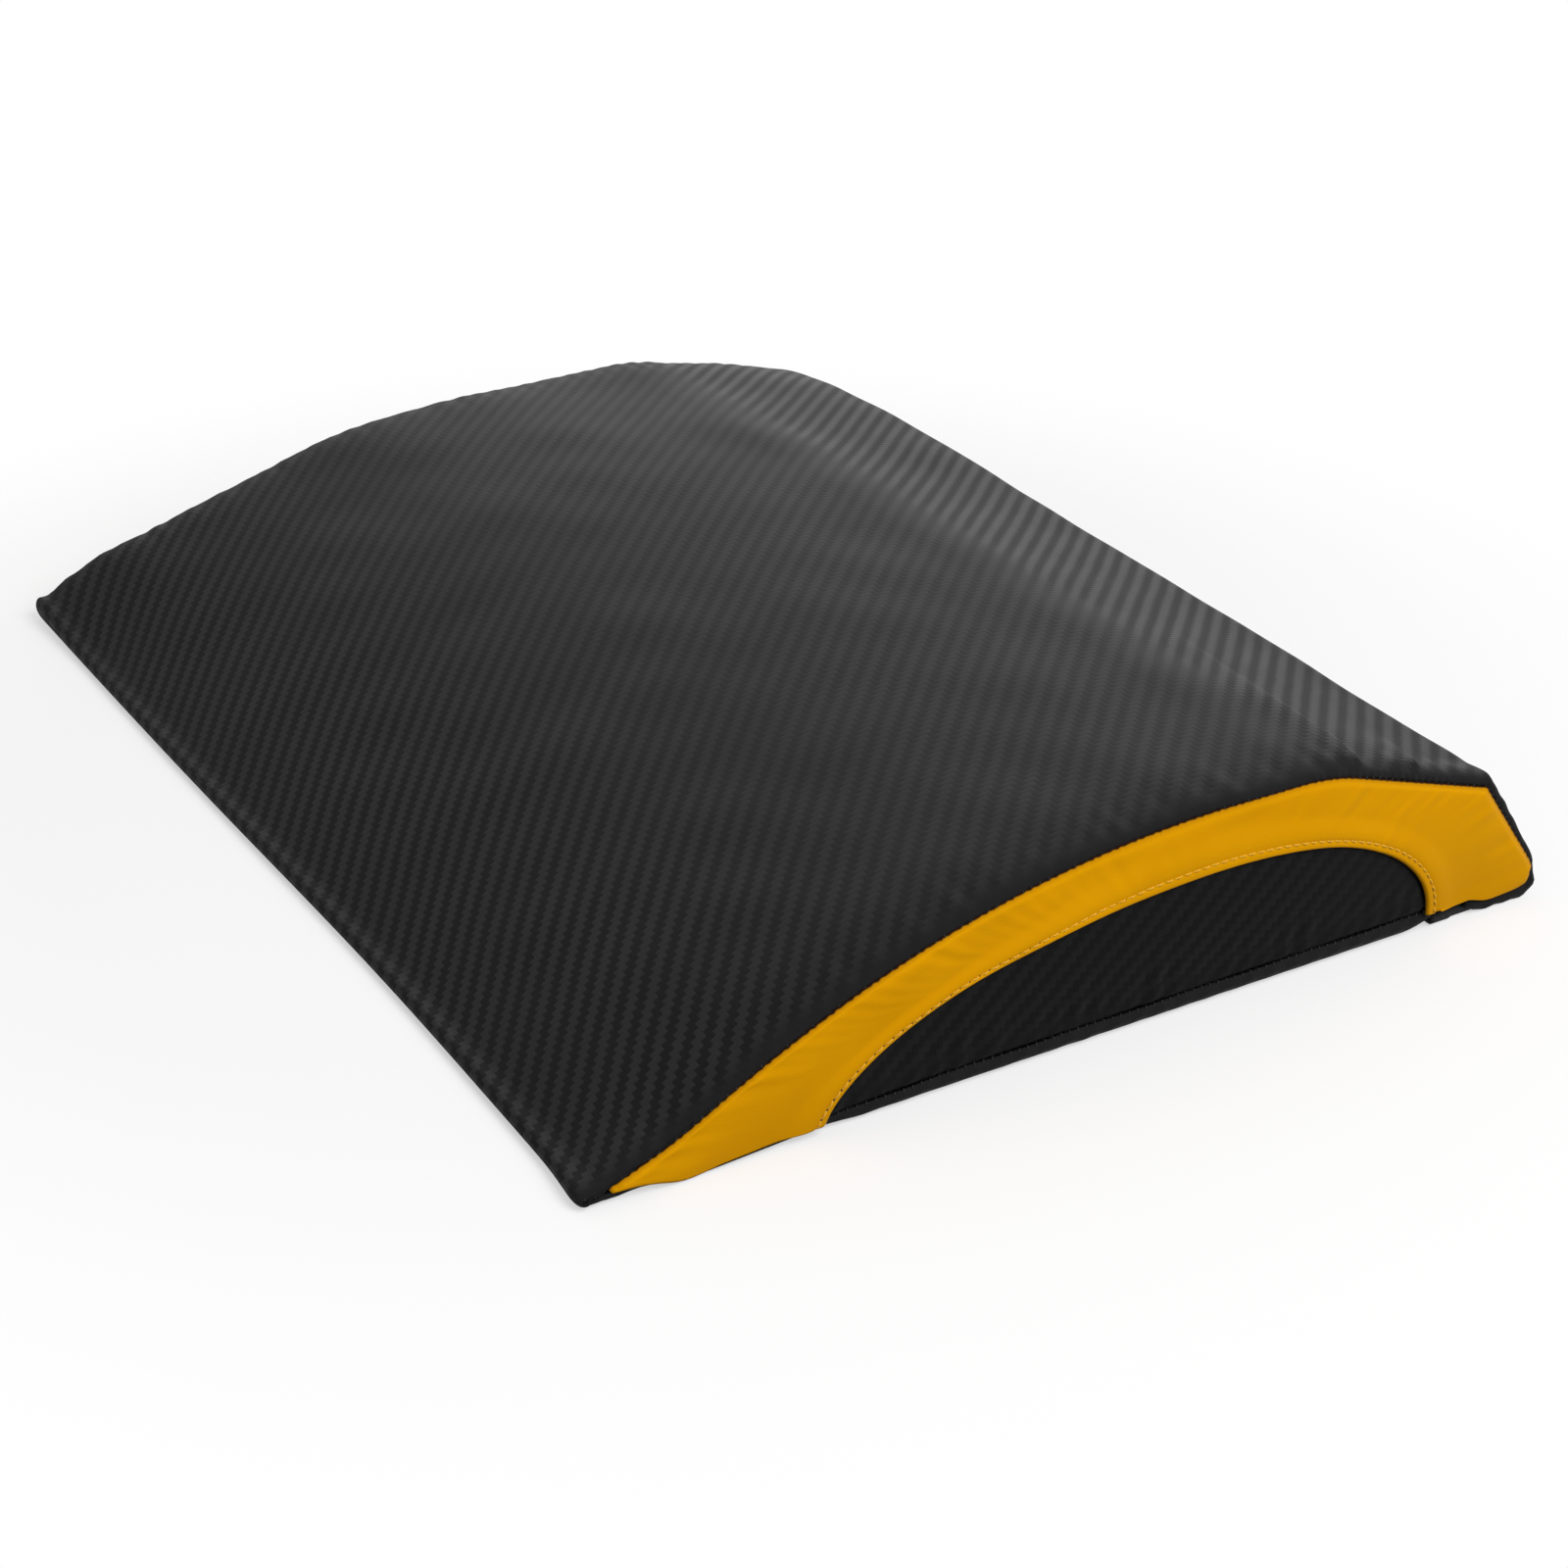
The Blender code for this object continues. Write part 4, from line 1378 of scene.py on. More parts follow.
@dataclass
class Shell:
    """The cover's outer surface, before its creases: a rolled sweep of the middle profile."""

    profile: MiddleProfile
    least_height: float = 0.0003
    full_height: float = 0.055

    def surface(self, arcs: np.ndarray, rows: CrossRows, depth: float = 0.0) -> np.ndarray:
        """Return a grid of points on the cover.

        Args:
            arcs: Places along the profile, one for each column.
            rows: The rows across the mat.
            depth: How far inside the cover the surface lies.

        Returns:
            Points as rows, columns and three components.
        """
        profile = self.profile
        points = along(profile.arcs, profile.points, arcs)
        normals = along(profile.arcs, profile.normals, arcs)
        lift = np.interp(arcs, profile.arcs, profile.lift)
        roll = np.interp(arcs, profile.arcs, profile.roll)
        offset = -rows.drop[:, None] * np.maximum(lift - depth, 0.0)[None, :] - depth
        flat = points[None] + normals[None] * offset[..., None]
        y = rows.reach[:, None] * (profile.seam_y - depth) - rows.roll[:, None] * roll[None, :]
        return np.stack([flat[..., 0], y, flat[..., 1]], axis=-1)

    def side_share(self, x: np.ndarray, z: np.ndarray) -> tuple[np.ndarray, np.ndarray]:
        """Return where places on a side lie between its two seams.

        Args:
            x: Places along the mat.
            z: Heights in an array like x.

        Returns:
            The share of the way from the lower seam to the upper one, and the side's height.
        """
        low = self.profile.lower_height(x)
        height = np.maximum(self.profile.upper_height(x) - low, self.least_height)
        return np.clip((z - low) / height, 0.0, 1.0), height

    def side_bulge(self, x: np.ndarray, z: np.ndarray) -> np.ndarray:
        """Return how far the plain side stands out from the side seam's plane.

        Args:
            x: Places along the mat.
            z: Heights in an array like x.

        Returns:
            The distances in an array like x.
        """
        share, height = self.side_share(x, z)
        full = np.clip(height / self.full_height, 0.0, 1.0)
        return self.profile.side_bulge * full * 4 * share * (1 - share)


# Cloth


@dataclass
class CoverCloth:
    """The whole cover as one cloth that settles over the foam, held at its seams and underside."""

    shell: Shell
    spacing: float = 0.0048
    roll_steps: int = 6
    middle_steps: int = 68
    side_rows: int = 12
    frames: int = 22
    slack: float = 0.0003
    seam_slack: float = 0.012
    slack_reach: float = 0.016
    foam_hold: float = 0.12
    side_hold: float = 0.108
    seam_hold: float = 0.97
    bending: float = 40.0
    push: float = 0.6
    start_swell: Swell = Swell(0.055, 11)
    start_ripple: float = 0.0002
    most_shift: float = 0.0025
    firm_edge: float = 0.010
    firm_fade: float = 0.045
    underside: float = 0.004
    ripple_start: float = 0.006
    ripple_full: float = 0.020
    quality: int = 6
    mass: float = 0.25
    stretching: float = 80.0
    shearing: float = 40.0

    def __post_init__(self) -> None:
        """Lay out the cloth's grid and let it settle."""
        profile = self.shell.profile
        count = int(profile.heel / self.spacing)
        upper = np.linspace(0.0, profile.heel, count + 1)
        below = profile.arcs > profile.heel
        falling = -np.minimum.accumulate(profile.seam[below][:, 0])
        lower = np.interp(-profile.seam_at(upper[-2:0:-1])[:, 0], falling, profile.arcs[below])
        self.columns = count
        self.ring_arcs = np.concatenate([upper, lower])
        self.rows = CrossRows(self.roll_steps, self.middle_steps)
        self.rest = self.shell.surface(self.ring_arcs, self.rows)
        self.sides = {side: self._side_rest(side) for side in Side}
        self.shift = np.zeros_like(self.rest)
        self.side_shift = {side: np.zeros_like(grid) for side, grid in self.sides.items()}
        self._settle()

    def _halves(self, ring: np.ndarray) -> tuple[np.ndarray, np.ndarray]:
        """Return a ring's lower and upper halves, both from the front seam to the thick end."""
        return np.concatenate([ring[:1], ring[:self.columns - 1:-1]]), ring[:self.columns + 1]

    def _side_rest(self, side: Side) -> np.ndarray:
        """Return a side's grid before it settles.

        Args:
            side: The side.

        Returns:
            Rows from the lower seam to the upper one, with a column at each x.
        """
        lower, upper = self._halves(self.rest[EDGE_ROWS[side]])
        share = np.linspace(0.0, 1.0, self.side_rows + 1)[:, None, None]
        grid = lower[None] * (1 - share) + upper[None] * share
        out = self.shell.side_bulge(grid[..., 0], grid[..., 2])
        out[0] = out[-1] = out[:, 0] = out[:, -1] = 0.0
        grid[..., 1] += side.value * out
        return grid

    def _numbers(self) -> tuple[np.ndarray, dict]:
        """Number the cloth's points.

        Returns:
            The numbers of the rings' points and of each side's points.
        """
        rings = numbers(self.rest)
        count = rings.size
        sides = {}
        for side in Side:
            grid = np.zeros((self.side_rows + 1, self.columns + 1), int)
            grid[0], grid[-1] = self._halves(rings[EDGE_ROWS[side]])
            inner = (self.side_rows - 1) * (self.columns - 1)
            grid[1:-1, 1:-1] = np.arange(count, count + inner).reshape(self.side_rows - 1, -1)
            grid[:, 0] = grid[0, 0]
            grid[:, -1] = grid[0, -1]
            count += inner
            sides[side] = grid
        return rings, sides

    def _cloth_mesh(self) -> tuple[bpy.types.Object, np.ndarray, dict]:
        """Make the closed cloth.

        Returns:
            The object, and the numbers of the rings' points and of each side's points.
        """
        rings, sides = self._numbers()
        points = [self.rest.reshape(-1, 3)]
        points += [self.sides[side][1:-1, 1:-1].reshape(-1, 3) for side in Side]
        faces = [quads(looped(rings)), quads(sides[Side.NEAR]), quads(sides[Side.FAR])[:, ::-1]]
        clean = [list(dict.fromkeys(face)) for face in np.concatenate(faces).tolist()]
        clean = [face for face in clean if len(face) > 2]
        cloth = add_mesh("cloth", np.concatenate(points), clean)
        face_outwards(cloth)
        return cloth, rings, sides

    def _hold(self, cloth: bpy.types.Object, rings: np.ndarray, sides: dict) -> None:
        """Write how firmly each point is held: seams and underside firmly, the rest by the foam.

        Args:
            cloth: The cloth's object.
            rings: The numbers of the rings' points.
            sides: The numbers of each side's points.
        """
        weight = np.full(len(cloth.data.vertices), self.foam_hold)
        for grid in sides.values():
            weight[grid[1:-1, 1:-1]] = self.side_hold
        run = self.rest[..., 0] - self.shell.profile.front_x
        firm = 1 - smooth_step(run, self.firm_edge, self.firm_fade)
        weight[rings] = np.maximum(weight[rings], firm)
        weight[rings[self.rest[..., 2] < self.underside]] = 1.0
        weight[rings[[0, -1]]] = self.seam_hold
        loose = np.zeros(len(cloth.data.vertices))
        gap = self.shell.profile.seam_y - np.abs(self.rest[:, :self.columns, 1])
        loose[rings[:, :self.columns]] = bell(gap, self.slack_reach)
        for name, values in (("held", weight), ("loose", loose)):
            group = cloth.vertex_groups.new(name=name)
            for index, value in enumerate(values):
                group.add([index], float(value), "REPLACE")

    def _settle(self) -> None:
        """Let the cloth settle and keep how far each point has moved."""
        cloth, rings, sides = self._cloth_mesh()
        self._hold(cloth, rings, sides)
        before = self._read(cloth.data)
        swell = self.start_swell.at(before[:, 0], before[:, 1] + before[:, 2])
        free = smooth_step(before[:, 2], self.ripple_start, self.ripple_full) * self.start_ripple
        start = before + np.array([0.0, 0.0, 1.0]) * (swell * free)[:, None]
        rest_key = cloth.shape_key_add(name="rest")
        for points in (cloth.data.vertices, rest_key.data):
            points.foreach_set("co", start.astype(np.float32).ravel())
        simulate = cloth.modifiers.new("settle", "CLOTH")
        for name, value in {
                "quality": self.quality, "mass": self.mass, "tension_stiffness": self.stretching,
                "compression_stiffness": self.stretching, "shear_stiffness": self.shearing,
                "bending_stiffness": self.bending, "shrink_min": -self.slack,
                "shrink_max": -self.seam_slack, "vertex_group_shrink": "loose",
                "use_pressure": True, "uniform_pressure_force": self.push,
                "vertex_group_mass": "held", "pin_stiffness": 1.0}.items():
            setattr(simulate.settings, name, value)
        simulate.settings.effector_weights.gravity = 0.0
        simulate.collision_settings.use_collision = False
        simulate.point_cache.frame_start = 1
        simulate.point_cache.frame_end = self.frames
        scene = bpy.context.scene
        for number in range(1, self.frames + 1):
            scene.frame_set(number)
        settled = cloth.evaluated_get(bpy.context.evaluated_depsgraph_get())
        moved = self._read(settled.data) - before
        scene.frame_set(1)
        self._keep(moved, rings, sides)
        bpy.data.objects.remove(cloth, do_unlink=True)

    def _read(self, mesh: bpy.types.Mesh) -> np.ndarray:
        """Read a mesh's points.

        Args:
            mesh: The mesh.

        Returns:
            One point in each row.
        """
        flat = np.zeros(len(mesh.vertices) * 3, np.float32)
        mesh.vertices.foreach_get("co", flat)
        return flat.reshape(-1, 3).astype(float)

    def _keep(self, moved: np.ndarray, rings: np.ndarray, sides: dict) -> None:
        """Keep the moves as grids, capped.

        Args:
            moved: How far each point has moved.
            rings: The numbers of the rings' points.
            sides: The numbers of each side's points.
        """
        size = np.linalg.norm(moved, axis=1, keepdims=True)
        LOG.info("cover settles by up to %.2f mm, %.2f mm on average",
                 size.max() / MILLIMETRE, size.mean() / MILLIMETRE)
        moved = moved * (np.tanh(size / self.most_shift) * self.most_shift / np.maximum(size, 1e-9))
        self.shift = self._evened(moved[rings])
        self.side_shift = {side: self._evened(moved[grid]) for side, grid in sides.items()}

    def _evened(self, grid: np.ndarray) -> np.ndarray:
        """Even a grid out from point to point, with its border kept.

        Args:
            grid: Moves as rows, columns and three components.

        Returns:
            The evened grid.
        """
        for _ in range(2):
            inner = grid[1:-1, 1:-1]
            around = grid[:-2, 1:-1] + grid[2:, 1:-1] + grid[1:-1, :-2] + grid[1:-1, 2:]
            grid = grid.copy()
            grid[1:-1, 1:-1] = inner / 2 + around / 8
        return grid

    def panel_shift(self, arcs: np.ndarray, rows: CrossRows) -> np.ndarray:
        """Return how far the settled cover lies from the plain shell.

        Args:
            arcs: Places along the profile, one for each column.
            rows: The rows across the mat.

        Returns:
            Moves as rows, columns and three components.
        """
        shift = looped(self.shift)
        known = np.append(self.ring_arcs, self.shell.profile.total)
        column = np.interp(arcs, known, np.arange(len(known)))
        row = np.interp(rows.place, self.rows.place, np.arange(len(self.rows.place)))
        return read_grid(shift, *np.meshgrid(row, column, indexing="ij"))

    def side_out(self, side: Side, x: np.ndarray, z: np.ndarray) -> np.ndarray:
        """Return how far a side stands out from the side seam's plane.

        Args:
            side: The side.
            x: Places along the mat.
            z: Heights in an array like x.

        Returns:
            The distances in an array like x.
        """
        profile = self.shell.profile
        seam_x = profile.seam_at(self.ring_arcs[:self.columns + 1])[:, 0]
        column = np.interp(x, np.maximum.accumulate(seam_x), np.arange(self.columns + 1))
        row = self.shell.side_share(x, z)[0] * self.side_rows
        moved = read_grid(self.side_shift[side], row, column)[..., 1] * side.value
        return self.shell.side_bulge(x, z) + moved


# Cover


@dataclass(frozen=True)
class SeamDetail:
    """How vinyl draws into a sewn seam: a groove with puckers and the pull of every stitch."""

    groove: float = 0.0013
    groove_width: float = 0.0015
    pucker: float = 0.00045
    pucker_reach: float = 0.007
    pucker_length: float = 0.0105
    stitch: float = 0.00028
    stitch_reach: float = 0.0016
    stitch_pitch: float = 0.0027
    seed: int = 3

    def depth(self, gap: np.ndarray, place: np.ndarray,
              free: "np.ndarray | float" = 1.0) -> np.ndarray:
        """Return how far the surface moves along its outward normal.

        Args:
            gap: Distances from the seam.
            place: Distances along the seam, in an array like gap.
            free: The share of the puckers, which fade out where two panels meet.

        Returns:
            The moves, which are negative in the groove.
        """
        groove = -self.groove * bell(gap, self.groove_width)
        fold = Ripple(self.pucker_length, self.seed).at(place)
        reach = gap / self.pucker_reach
        pucker = self.pucker * fold * reach * np.exp(1 - reach) * np.exp(-reach ** 2 / 4)
        pull = np.cos(2 * np.pi * place / self.stitch_pitch)
        return groove + free * (pucker + self.stitch * pull * bell(gap, self.stitch_reach))


@dataclass(frozen=True)
class Crease:
    """A fold in the top panel that starts at the near seam and fades out towards the middle."""

    foot: float
    lean: float
    reach: float
    height: float
    width: float
    front_width: float = 4.0
    fade_share: float = 0.7
    root: tuple = (0.001, 0.006)
    waver: float = 0.0006
    waver_length: float = 0.011

    def rise(self, run: np.ndarray, inward: np.ndarray) -> np.ndarray:
        """Return the fold's height.

        Args:
            run: Distances from the front edge.
            inward: Distances from the near seam, in an array like run.

        Returns:
            The heights in an array like run.
        """
        bend = self.waver * np.sin(inward / self.waver_length)
        away = run - self.foot - self.lean * inward - bend
        fade = smooth_step(self.reach - inward, 0.0, self.reach * self.fade_share)
        fade = fade * smooth_step(inward, *self.root)
        width = np.where(away < 0, self.front_width * self.width, self.width)
        return self.height * fade * bell(away, width)


@dataclass
class Cover:
    """The sewn cover: top and bottom panels, side bands and half-moon inserts."""

    profile: MiddleProfile
    cloth: CoverCloth
    foam: FoamSet
    finishes: Finishes
    vinyl: float = 0.0009
    floor_gap: float = 0.00005
    top_step: float = 0.0016
    under_step: float = 0.0026
    band_tip: float = 0.0075
    band_front_foot: float = 0.0662
    band_rear_foot: float = 0.0418
    band_depth: float = 0.0169
    lap: float = 0.007
    lap_depth: float = 0.0006
    lap_start: float = -0.001
    lap_full: float = 0.002
    front_curve: float = 2.0
    rear_curve: float = 2.2
    insert_end_angle: float = 9.0
    insert_columns: int = 190
    insert_rows: tuple = (8, 33)
    band_columns: int = 300
    band_rows: tuple = (9, 19, 9)
    hem: float = 0.0007
    hem_edge: float = 0.0009
    hem_fade: float = 0.005
    hem_end: float = 0.012
    toe_stations: tuple = (0.014, 0.020, 0.060, 0.068)
    toe_calm: float = 0.008
    foot_calm: float = 0.4
    band_vinyl: float = 0.00054
    stitch_inset: float = 0.0028
    stitch_dip: float = 0.00022
    stitch_width: float = 0.0006
    stitch_row: int = 8
    stitch_skip: int = 2
    fold_height: float = 0.00017
    fold_lean: float = 0.7
    fold_end: float = 0.06
    fold_rise: tuple = (0.001, 0.009)
    fold_fall: float = 0.004
    swell_height: float = 0.0003
    swell_rise: float = 0.006
    drag_width: float = 0.0016
    drag_lean: float = 0.9
    drag_foot: float = 0.030
    drag_middle: float = 0.038
    drag_reach: float = 0.014
    drag_lines: tuple = ((0.236, 0.00022), (0.246, 0.00016))
    creases: tuple = (Crease(0.232, 0.137, 0.100, 0.0017, 0.0022),
                      Crease(0.253, 0.32, 0.026, 0.0013, 0.0019))
    dent_depth: float = 0.00012
    nose_end: float = 0.008
    nose_step: float = 0.0008
    crease_start: float = 0.228
    crease_end: float = 0.282
    crease_step: float = 0.0006
    under_nose: float = 0.012
    under_nose_steps: int = 15
    top_rows: tuple = (18, 84)
    bottom_rows: tuple = (14, 80)
    floor_heights: tuple = (0.0002, 0.0012)
    end_fade: float = 0.004
    far_phase: float = 0.19
    over_thread_skip: int = 4
    under_thread_start: float = 0.07
    top_seam: SeamDetail = SeamDetail(pucker=0.0002)
    bottom_seam: SeamDetail = SeamDetail(pucker=0.00008, seed=8)
    insert_seam: SeamDetail = SeamDetail(pucker=0.0003, seed=21)
    band_seam: SeamDetail = SeamDetail(pucker=0.00012, groove=0.0010, seed=13)
    top_dents: Swell = Swell(0.075, 5)
    band_swell: Swell = Swell(0.045, 29)
    band_folds: Ripple = Ripple(0.022, 17)
    topstitch: ThreadLine = ThreadLine(
        pitch=0.00297, length=0.0022, diameter=0.00054, rise=0.00022, sink=0.0002)
    seam_stitch: ThreadLine = ThreadLine(
        pitch=0.0027, length=0.0009, diameter=0.00028, rise=0.00012, sink=0.0002, seed=9)

    def build(self) -> None:
        """Build every panel of the cover and its threads."""
        top = self.top_panel()
        bottom = self.bottom_panel()
        for side in Side:
            self.side_insert(side)
            self.side_band(side)
            self.seam_thread(side, "over", top)
            self.seam_thread(side, "under", bottom)

    def seam_thread(self, side: Side, where: str, edges: dict) -> None:
        """Sew a panel's edge to the side with black thread that crosses the seam.

        Args:
            side: The side.
            where: Whether the seam runs over the arch or under the mat.
            edges: The panel's two edges.
        """
        outward = np.array([0.0, side.value, 0.0])
        line = edges[side] + outward * self.seam_stitch.diameter / 2
        made = self.seam_stitch.stitches(side.named(f"seam_thread_{where}"), line, outward,
                                         self.finishes.black_thread, across=True)
        settle(made, Slot.CARBON)

    def _laid(self, grid: np.ndarray) -> np.ndarray:
        """Lay a grid over the foam's set and keep it above the floor.

        Args:
            grid: Points, with their three components last.

        Returns:
            The moved points.
        """
        shaped = self.foam.shaped(grid)
        shaped[..., 2] = np.maximum(shaped[..., 2], self.floor_gap)
        return shaped

    # Panels that run right across

    def _panel(self, arcs: np.ndarray, rows: CrossRows) -> tuple[np.ndarray, np.ndarray]:
        """Return a settled panel's grid and its cloth coordinates.

        Args:
            arcs: Places along the profile, one for each column.
            rows: The rows across the mat.

        Returns:
            The grid of points and the cloth coordinates.
        """
        grid = self.cloth.shell.surface(arcs, rows) + self.cloth.panel_shift(arcs, rows)
        near = travelled(grid)
        gap = np.minimum(near, near[-1] - near)
        weave = np.stack([np.broadcast_to(arcs, near.shape), near - near[-1] / 2, gap], axis=-1)
        return grid, weave

    def _outward(self, grid: np.ndarray, arcs: np.ndarray) -> np.ndarray:
        """Return a panel's normals, turned outwards where the grid folds over itself at a nose.

        Args:
            grid: The panel's points.
            arcs: Places along the profile, one for each column.

        Returns:
            The normals in an array like the grid.
        """
        normals = grid_normals(grid)
        middle = along(self.profile.arcs, self.profile.normals, arcs)
        inside = normals[..., 0] * middle[:, 0] + normals[..., 2] * middle[:, 1]
        inside += 2 * normals[..., 1] * np.sign(grid[..., 1])
        return normals * np.where(inside < 0, -1.0, 1.0)[..., None]

    def _sewn_panel(self, place: str, arcs: np.ndarray, grid: np.ndarray, weave: np.ndarray,
                    move: np.ndarray, slot: Slot, finish: bpy.types.Material) -> np.ndarray:
        """Make a panel from its settled grid and its seams' and creases' moves.

        Args:
            place: "top" or "bottom".
            arcs: Places along the profile, one for each column.
            grid: The settled grid.
            weave: Its cloth coordinates.
            move: How far each point moves outwards.
            slot: Its material slot in the record.
            finish: The vinyl.

        Returns:
            The finished outer face.
        """
        laid = self._laid(grid + self._outward(grid, arcs) * move[..., None])
        made = closed_sheet(f"{place}_panel", "cover", slot, laid, weave, self.vinyl, 1, finish)
        return laid

    def top_panel(self) -> dict:
        """Make the top panel with its seams, creases and dents.

        Returns:
            The panel's edge on each side.
        """
        ends = (0.0, self.nose_end, self.crease_start, self.crease_end, self.profile.rear_lip)
        steps = (self.nose_step, self.top_step, self.crease_step, self.top_step)
        arcs = graded(ends, tuple(int((last - first) / step)
                                  for first, last, step in zip(ends, ends[1:], steps)))
        grid, weave = self._panel(arcs, CrossRows(*self.top_rows))
        way, across, gap = np.moveaxis(weave, -1, 0)
        run = grid[..., 0] - self.profile.front_x
        free = smooth_step(way, 0.0, self.end_fade)
        place = way + np.where(grid[..., 1] > 0, self.far_phase, 0.0)
        folds = np.zeros_like(run)
        for crease in self.creases:
            folds += crease.rise(run, grid[..., 1] + self.profile.seam_y)
        folds = folds + self.top_dents.at(way, across) * self.dent_depth
        move = self.top_seam.depth(gap, place, free) + folds * free
        laid = self._sewn_panel("top", arcs, grid, weave, move, Slot.CARBON, self.finishes.carbon)
        return {side: laid[row, self.over_thread_skip:] for side, row in EDGE_ROWS.items()}

    def bottom_panel(self) -> dict:
        """Make the bottom panel.

        Returns:
            The panel's edge on each side, without the front.
        """
        profile = self.profile
        ends = (profile.front_lip, profile.total - self.under_nose, profile.total)
        main_steps = int((profile.total - profile.front_lip) / self.under_step) - 1
        arcs = graded(ends, (main_steps, self.under_nose_steps))
        grid, weave = self._panel(arcs, CrossRows(*self.bottom_rows))
        way, _, gap = np.moveaxis(weave, -1, 0)
        off_floor = smooth_step(grid[..., 2], *self.floor_heights)
        free = smooth_step(profile.total - way, 0.0, self.end_fade)
        drawn = 1 - self._toe(grid[..., 0])
        move = self.bottom_seam.depth(gap, way, free) * off_floor * drawn
        laid = self._sewn_panel("bottom", arcs, grid, weave, move, Slot.BASE, self.finishes.base)
        start = profile.front_x + self.under_thread_start
        return {side: laid[row][laid[row][:, 0] > start] for side, row in EDGE_ROWS.items()}

    # Side pieces

    def _toe(self, x: np.ndarray) -> np.ndarray:
        """Tell where the band's front foot is, whose lower seam lies flat under the edge.

        Args:
            x: Places along the mat.

        Returns:
            1 along the foot and 0 elsewhere, in an array like x.
        """
        run = x - self.profile.front_x
        start, full, fall, end = self.toe_stations
        return smooth_step(run, start, full) * (1 - smooth_step(run, fall, end))

    def moon(self, angle: np.ndarray, grow: float = 0.0) -> np.ndarray:
        """Return the half-moon outline in the side plane, from its front foot over to its rear one.

        Args:
            angle: 0 at the front foot and pi at the rear foot, in radians.
            grow: How far outside the outline the line runs.

        Returns:
            One row of x and z for each angle.
        """
        profile = self.profile
        crest = profile.crest_height - profile.top_lift - self.band_depth
        apex = profile.front_x + profile.arch_length
        front = angle < math.pi / 2
        reach = np.where(front, apex - profile.front_x - self.band_front_foot,
                         profile.end_x - self.band_rear_foot - apex)
        power = np.where(front, self.front_curve, self.rear_curve)
        across = np.abs(np.cos(angle)) ** (2 / power)
        up = np.maximum(np.sin(angle), 0.0) ** (2 / power)
        x = apex + np.where(front, -1, 1) * across * (reach + grow)
        z = np.maximum(up * (crest + grow), profile.lower_height(x))
        return np.stack([x, z], axis=-1)

    def moon_line(self, count: int, grow: float = 0.0, ends: float = 0.0) -> np.ndarray:
        """Return evenly spaced points of the half-moon outline.

        Args:
            count: The number of points.
            grow: How far outside the outline the line runs.
            ends: Where the line starts and ends, in degrees from the outline's feet.

        Returns:
            One row of x and z for each point.
        """
        first = math.radians(ends)
        dense = self.moon(np.linspace(first, math.pi - first, 1200), grow)
        length = travelled(dense)
        return along(length, dense, np.linspace(0.0, length[-1], count))

    def _standing(self, side: Side, x: np.ndarray, out: np.ndarray, z: np.ndarray) -> np.ndarray:
        """Return a side piece's grid from how far it stands out from the side seam's plane."""
        y = side.value * (self.profile.seam_y + out)
        return self._laid(np.stack([x, y, z], axis=-1))

    def side_insert(self, side: Side) -> bpy.types.Object:
        """Make the embossed half-moon under the band.

        Args:
            side: The side.

        Returns:
            The sheet.
        """
        outline = self.moon_line(self.insert_columns, self.lap, self.insert_end_angle)
        low = self.profile.lower_height(outline[:, 0])
        share = graded((0.0, 0.12, 1.0), self.insert_rows)[:, None]
        x = np.broadcast_to(outline[:, 0], (len(share), len(outline)))
        z = low + (outline[:, 1] - low) * share
        gap = z - low
        place = np.broadcast_to(travelled(outline), x.shape)
        out = self.cloth.side_out(side, x, z) + self.insert_seam.depth(gap, place)
        inner = self.moon_line(400)
        above = z - np.interp(x, inner[:, 0], inner[:, 1])
        under = smooth_step(above, self.lap_start, self.lap_full)
        laid = self._standing(side, x, out - self.lap_depth * (1 + 2 * under), z)
        weave = np.stack([x, z, gap], axis=-1)
        # The darker twill copy paints the shade on the upright insert.
        made = closed_sheet(side.named("side_insert"), "cover", Slot.CARBON, laid, weave,
                            self.vinyl, -side.value, self.finishes.side)
        return made

    def _band_lines(self, count: int) -> tuple[np.ndarray, np.ndarray]:
        """Return the band's two long edges.

        Args:
            count: The number of points of each.

        Returns:
            The outer line along the side seam and the inner one over the half-moon.
        """
        profile = self.profile
        tip = profile.front_x + self.band_tip
        over = profile.arcs[(profile.seam[:, 0] >= tip) & (profile.arcs <= profile.heel)]
        foot = profile.heel + profile.foot_radius
        outer = profile.seam_at(np.linspace(over[0], foot, count))
        length = travelled(outer)
        inner = self.moon_line(1200)
        inner = along(travelled(inner) / travelled(inner)[-1], inner, length / length[-1])
        return outer, inner

    def band_grid(self) -> tuple[np.ndarray, np.ndarray, np.ndarray]:
        """Lay the band out in the side plane.

        Returns:
            A grid of x and z, and its distances from the outer edge and from the inner one.
        """
        outer, inner = self._band_lines(self.band_columns)
        share = graded((0.0, 0.14, 0.86, 1.0), self.band_rows)[:, None, None]
        column = (travelled(outer) / travelled(outer)[-1])[None, :, None]
        grid = inner[None] * (1 - share) + outer[None] * share
        for end, fade in ((0, 1 - column), (-1, column)):
            foot = inner[end] * (1 - share) + outer[end] * share
            low = foot.copy()
            low[..., 1] = self.profile.lower_height(foot[..., 0])
            low[0], low[-1] = foot[0], foot[-1]
            grid = grid + (low - foot) * fade ** 3
        from_inner = travelled(grid)
        return grid, from_inner[-1] - from_inner, from_inner

